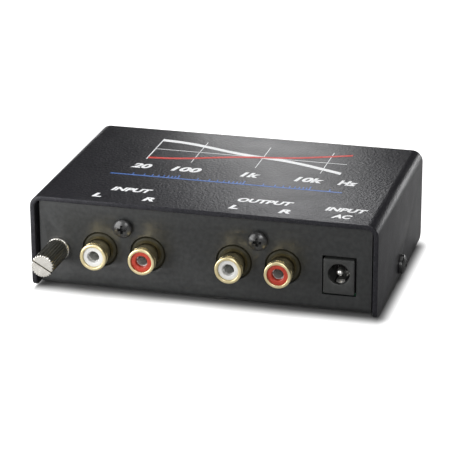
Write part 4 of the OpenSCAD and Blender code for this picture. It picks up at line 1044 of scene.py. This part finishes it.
# %% The two curves
TIME_CONSTANTS = (3180e-6, 318e-6, 75e-6)
PLOT_LEFT, PLOT_RIGHT, PLOT_MIDDLE, PLOT_HALF = -29.0, 33.0, 22.5, 9.0
LOW_HZ, HIGH_HZ, FULL_DB = 20.0, 20000.0, 20.0


def playback_db(hertz):
    w = 2 * math.pi * hertz
    bass, mid, treble = TIME_CONSTANTS
    gain = math.hypot(1, w * mid) / (math.hypot(1, w * bass) * math.hypot(1, w * treble))
    return 20 * math.log10(gain)


def plot_x(hertz):
    share = math.log(hertz / LOW_HZ) / math.log(HIGH_HZ / LOW_HZ)
    return PLOT_LEFT + share * (PLOT_RIGHT - PLOT_LEFT)


def curve_points(sign, steps=48):
    middle = playback_db(1000)
    tones = [LOW_HZ * (HIGH_HZ / LOW_HZ) ** (i / steps) for i in range(steps + 1)]
    return [
        (plot_x(f), PLOT_MIDDLE + sign * (playback_db(f) - middle) / FULL_DB * PLOT_HALF)
        for f in tones
    ]


print("playback curve from", round(playback_db(20), 1), "to", round(playback_db(20000), 1), "dB")

# %% [markdown]
# A stroke of ink is drawn like a broad pen: a short upright edge is extruded from point to
# point along the curve, and the skin then gets its thickness.

# %% Strokes and bars
def ink_stroke(points_mm, width_mm, thick_mm=INK_MM):
    places = [Vector((x, y, lid_top / MM)) * MM for x, y in points_mm]
    bpy.ops.mesh.primitive_plane_add(size=width_mm * MM, location=places[0])
    stroke = settle(bpy.context.object)
    edit(stroke)
    choose(stroke, "VERT", lambda c: c.x < places[0].x)
    bpy.ops.mesh.delete(type="VERT")
    choose(stroke, "VERT", lambda c: True)
    bpy.ops.transform.translate(value=(-width_mm * MM / 2, 0, 0))
    for here, there in zip(places, places[1:]):
        bpy.ops.mesh.extrude_region_move(TRANSFORM_OT_translate={"value": there - here})
    bpy.ops.mesh.select_all(action="SELECT")
    bpy.ops.mesh.normals_make_consistent(inside=False)
    leave_edit(stroke)
    if stroke.data.polygons[0].normal.z < 0:
        stroke.data.flip_normals()
    return thin_skin(stroke, thick_mm)


def ink_bar(left_mm, right_mm, low_mm, high_mm, thick_mm=0.7 * INK_MM):
    middle = (low_mm + high_mm) / 2
    return ink_stroke([(left_mm, middle), (right_mm, middle)], high_mm - low_mm, thick_mm)


# %% Draw the plot
FALL_WIDE_MM, RISE_WIDE_MM = 2.0, 1.5
AXIS_HALF_MM, GRID_HALF_MM = 0.16, 0.12
GRID_LOW, GRID_HIGH = PLOT_MIDDLE - PLOT_HALF - 1, PLOT_MIDDLE + PLOT_HALF + 1
fall = ink_stroke(curve_points(1), FALL_WIDE_MM)
rise = ink_stroke(curve_points(-1), RISE_WIDE_MM, 1.5 * INK_MM)
grid = [
    ink_bar(PLOT_LEFT, PLOT_RIGHT, PLOT_MIDDLE - AXIS_HALF_MM, PLOT_MIDDLE + AXIS_HALF_MM),
    ink_bar(PLOT_LEFT - 0.3, PLOT_LEFT + 0.1, GRID_LOW, GRID_HIGH),
]
for hertz in (100, 1000, 10000):
    x = plot_x(hertz)
    grid.append(ink_bar(x - GRID_HALF_MM, x + GRID_HALF_MM, GRID_LOW, GRID_HIGH))
SCALE_WORDS = [
    ("20", -31.6, -25.4, 3.6, 4.2), ("100", -18.8, -9.4, 3.6, 4.2), ("1k", 3.4, 9.4, 3.6, 4.2),
    ("10k", 20.4, 29.4, 3.6, 4.2), ("Hz", 34.0, 40.0, 3.6, 4.2),
]
white_plot = join([fall] + grid + [printed_word(*entry) for entry in SCALE_WORDS])
finish_piece(white_plot, "playback_curve_print", FINISHES["white_ink"])
finish_piece(rise, "cutting_curve_print", FINISHES["red_ink"])

# %% [markdown]
# A blue rule with the fine steps of a logarithmic scale closes the drawing.

# %% Blue rule
RULE_LEFT, RULE_RIGHT, RULE_Y, RULE_HALF_MM = -36.0, 37.0, -3.0, 0.4
TICK_HALF_MM, LONG_TICK_MM, SHORT_TICK_MM = 0.2, 2.6, 1.5
rule_top = RULE_Y + RULE_HALF_MM
rule = [ink_bar(RULE_LEFT, RULE_RIGHT, RULE_Y - RULE_HALF_MM, rule_top, INK_MM)]
for decade in (10, 100, 1000, 10000):
    for step in range(1, 10):
        hertz = decade * step
        if LOW_HZ <= hertz <= HIGH_HZ:
            tall = LONG_TICK_MM if step == 1 else SHORT_TICK_MM
            x = plot_x(hertz)
            rule.append(ink_bar(x - TICK_HALF_MM, x + TICK_HALF_MM, RULE_Y + 0.2, rule_top + tall))
finish_piece(join(rule), "log_rule_print", FINISHES["blue_ink"])

# %% [markdown]
# ## Floor
# The case stands on a plain pale sheet, lit by the lamps, so it keeps the soft shadow. What
# the eye sees of the sheet also gets a light of its own, which makes it white as paper in a
# bright room. That light fades out towards the case over a width set for each side, which
# paints a soft shadow round the case, and the narrow gap under the case stays as dark as a
# real one. Near the case the sheet's own colour is darkened too, a painted contact shadow.
# Metal and plastic mirror the white sheet too, but only what lies far off: nearer, a black
# side would turn grey with it. No diffuse ray meets this light, so it adds none to the case.

# %% How far the floor is from the case
FLOOR_SHADE, PAINTED_CONTACT_SHADE, GLOW_LEVEL = 0.50, 0.45, 1.0
# mm from the lid's outline to where the painted shadow starts, and its width there
PAINTED_SHADOW = {"right": (-0.3, 5.0), "left": (-1.0, 1.6), "front": (-4.4, 9.8), "back": (-7.0, 9.0)}
# between these two, in widths of the painted shadow, the sheet turns white in mirrors
FAR_SHADOWS = (20.0, 60.0)


def sums(finish, operation, first, second=None):
    """A Math node. Each of its two values is a socket or a plain number."""
    made = put(finish, "ShaderNodeMath", operation=operation)
    for socket, value in zip(made.inputs, (first, second)):
        if isinstance(value, (int, float)):
            socket.default_value = value
        elif value is not None:
            wire(finish, value, socket)
    return made.outputs["Value"]


def past(finish, place, edge, outward, side):
    """0 where the painted shadow starts on that side of the case, 1 where it ends."""
    start_mm, width_mm = PAINTED_SHADOW[side]
    beyond = sums(finish, "SUBTRACT", place, edge + outward * start_mm * MM)
    return sums(finish, "DIVIDE", beyond, outward * width_mm * MM)


def away_from_case(finish):
    """0 at the foot of the case, 1 where its painted shadow ends, round at the corners."""
    case_low, case_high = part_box("top_cover")
    axes = axes_of(finish, surface_place(finish))
    x, y = axes["X"], axes["Y"]
    right = past(finish, x, case_high.x, 1, "right")
    left = past(finish, x, case_low.x, -1, "left")
    front = past(finish, y, case_low.y, -1, "front")
    back = past(finish, y, case_high.y, 1, "back")
    squares = []
    for one, other in ((right, left), (front, back)):
        way = sums(finish, "MAXIMUM", sums(finish, "MAXIMUM", one, other), 0.0)
        squares.append(sums(finish, "POWER", way, 2.0))
    return sums(finish, "SQRT", sums(finish, "ADD", *squares))


print("shadow", PAINTED_SHADOW)

# %% Floor
FLOOR_SIZE, SHEET_MOTTLE_MM, SHEET_DRIFT = 8.0, 60.0, 0.01
bpy.ops.mesh.primitive_plane_add(size=FLOOR_SIZE, location=(0, 0, 0))
floor = settle(bpy.context.object)
floor.name = "floor"
sheet = start_finish("white_sheet", (FLOOR_SHADE,) * 3, 0.9, specular=0.0)
sheet_colour = mottle(
    sheet, surface_place(sheet), SHEET_MOTTLE_MM,
    (FLOOR_SHADE - SHEET_DRIFT,) * 3, (FLOOR_SHADE + SHEET_DRIFT,) * 3,
)
away = away_from_case(sheet)
# painted contact shadow: the sheet's colour is darkened towards the foot of the case
contact = ramp(sheet, away, low=PAINTED_CONTACT_SHADE, kind="SMOOTHSTEP")
painted_shadow_colour = put(sheet, "ShaderNodeVectorMath", operation="SCALE")
wire(sheet, sheet_colour, painted_shadow_colour.inputs[0])
wire(sheet, contact, painted_shadow_colour.inputs["Scale"])
wire(sheet, painted_shadow_colour.outputs["Vector"], shader_of(sheet).inputs["Base Color"])
# painted shadow: the glow fades out towards the case, leaving a soft dark band round it
glow = ramp(sheet, away, high=GLOW_LEVEL, kind="SMOOTHSTEP")
far = ramp(sheet, away, *FAR_SHADOWS, kind="SMOOTHSTEP")
seen = put(sheet, "ShaderNodeLightPath")
mirrored = sums(
    sheet, "MAXIMUM", seen.outputs["Is Glossy Ray"], seen.outputs["Is Transmission Ray"]
)
mirrored = sums(sheet, "MULTIPLY", mirrored, far)
looked_at = sums(sheet, "MAXIMUM", seen.outputs["Is Camera Ray"], mirrored)
light = put(sheet, "ShaderNodeEmission")
wire(sheet, sums(sheet, "MULTIPLY", glow, looked_at), light.inputs["Strength"])
both = put(sheet, "ShaderNodeAddShader")
wire(sheet, shader_of(sheet).outputs["BSDF"], both.inputs[0])
wire(sheet, light.outputs["Emission"], both.inputs[1])
output = sheet.node_tree.nodes["Material Output"]
wire(sheet, both.outputs["Shader"], output.inputs["Surface"])
wear(floor, sheet)
print("floor glow", GLOW_LEVEL)

# %% [markdown]
# ## Light
# Black coats show little but what they mirror, so each lamp is there for one reflection.
# A broad lamp overhead lights everything evenly and makes white ink white. A small soft lamp
# near the left front gives the socket panel its fall of light from left to right. A weak one
# in front fills the gold lips and the plastic faces. A low wide card at the right rear draws
# the bright line along the lid's fold. Behind the left of the lid's middle stands a tall
# card in two parts, brighter above: mirrored in the lid, it is the sheen that runs over the
# coat from back to front. The world adds a trace of grey so that nothing goes quite black.

# %% Lamps and world
def soft_lamp(name, place_mm, aim_mm, size_mm, watts, deep_mm=None):
    bpy.ops.object.light_add(type="AREA", location=Vector(place_mm) * MM)
    lamp = bpy.context.object
    lamp.name = name
    lamp.data.shape = "RECTANGLE"
    lamp.data.size = size_mm * MM
    lamp.data.size_y = (deep_mm or size_mm) * MM
    lamp.data.energy = watts
    aim = (Vector(aim_mm) - Vector(place_mm)).normalized()
    lamp.rotation_euler = aim.to_track_quat("-Z", "Y").to_euler()
    return lamp


WORLD_LEVEL = 0.02
world = bpy.data.worlds.new("quiet_grey")
bpy.context.scene.world = world
world.use_nodes = True
world.node_tree.nodes["Background"].inputs["Color"].default_value = (1, 1, 1, 1)
world.node_tree.nodes["Background"].inputs["Strength"].default_value = WORLD_LEVEL
# name, place, aim, width, watts and, where it isn't square, height; lengths in mm
LAMPS = [
    ("overhead", (0, 60, 1200), (0, 0, 0), 1200, 10.0),
    ("near_left", (-120, -110, 60), (0, -10, 15), 120, 0.26),
    ("front_fill", (200, -700, 350), (0, -10, 15), 250, 2.3),
    ("side_card", (250, 400, 60), (10, 0, 30), 240, 0.30, 80),
    ("card_low", (-79, 400, 140), (10, 0, 30), 82, 0.125, 240),
    ("card_high", (-70, 400, 340), (10, 0, 30), 76, 0.27, 160),
]
for lamp in LAMPS:
    soft_lamp(*lamp)
print("world level", WORLD_LEVEL)
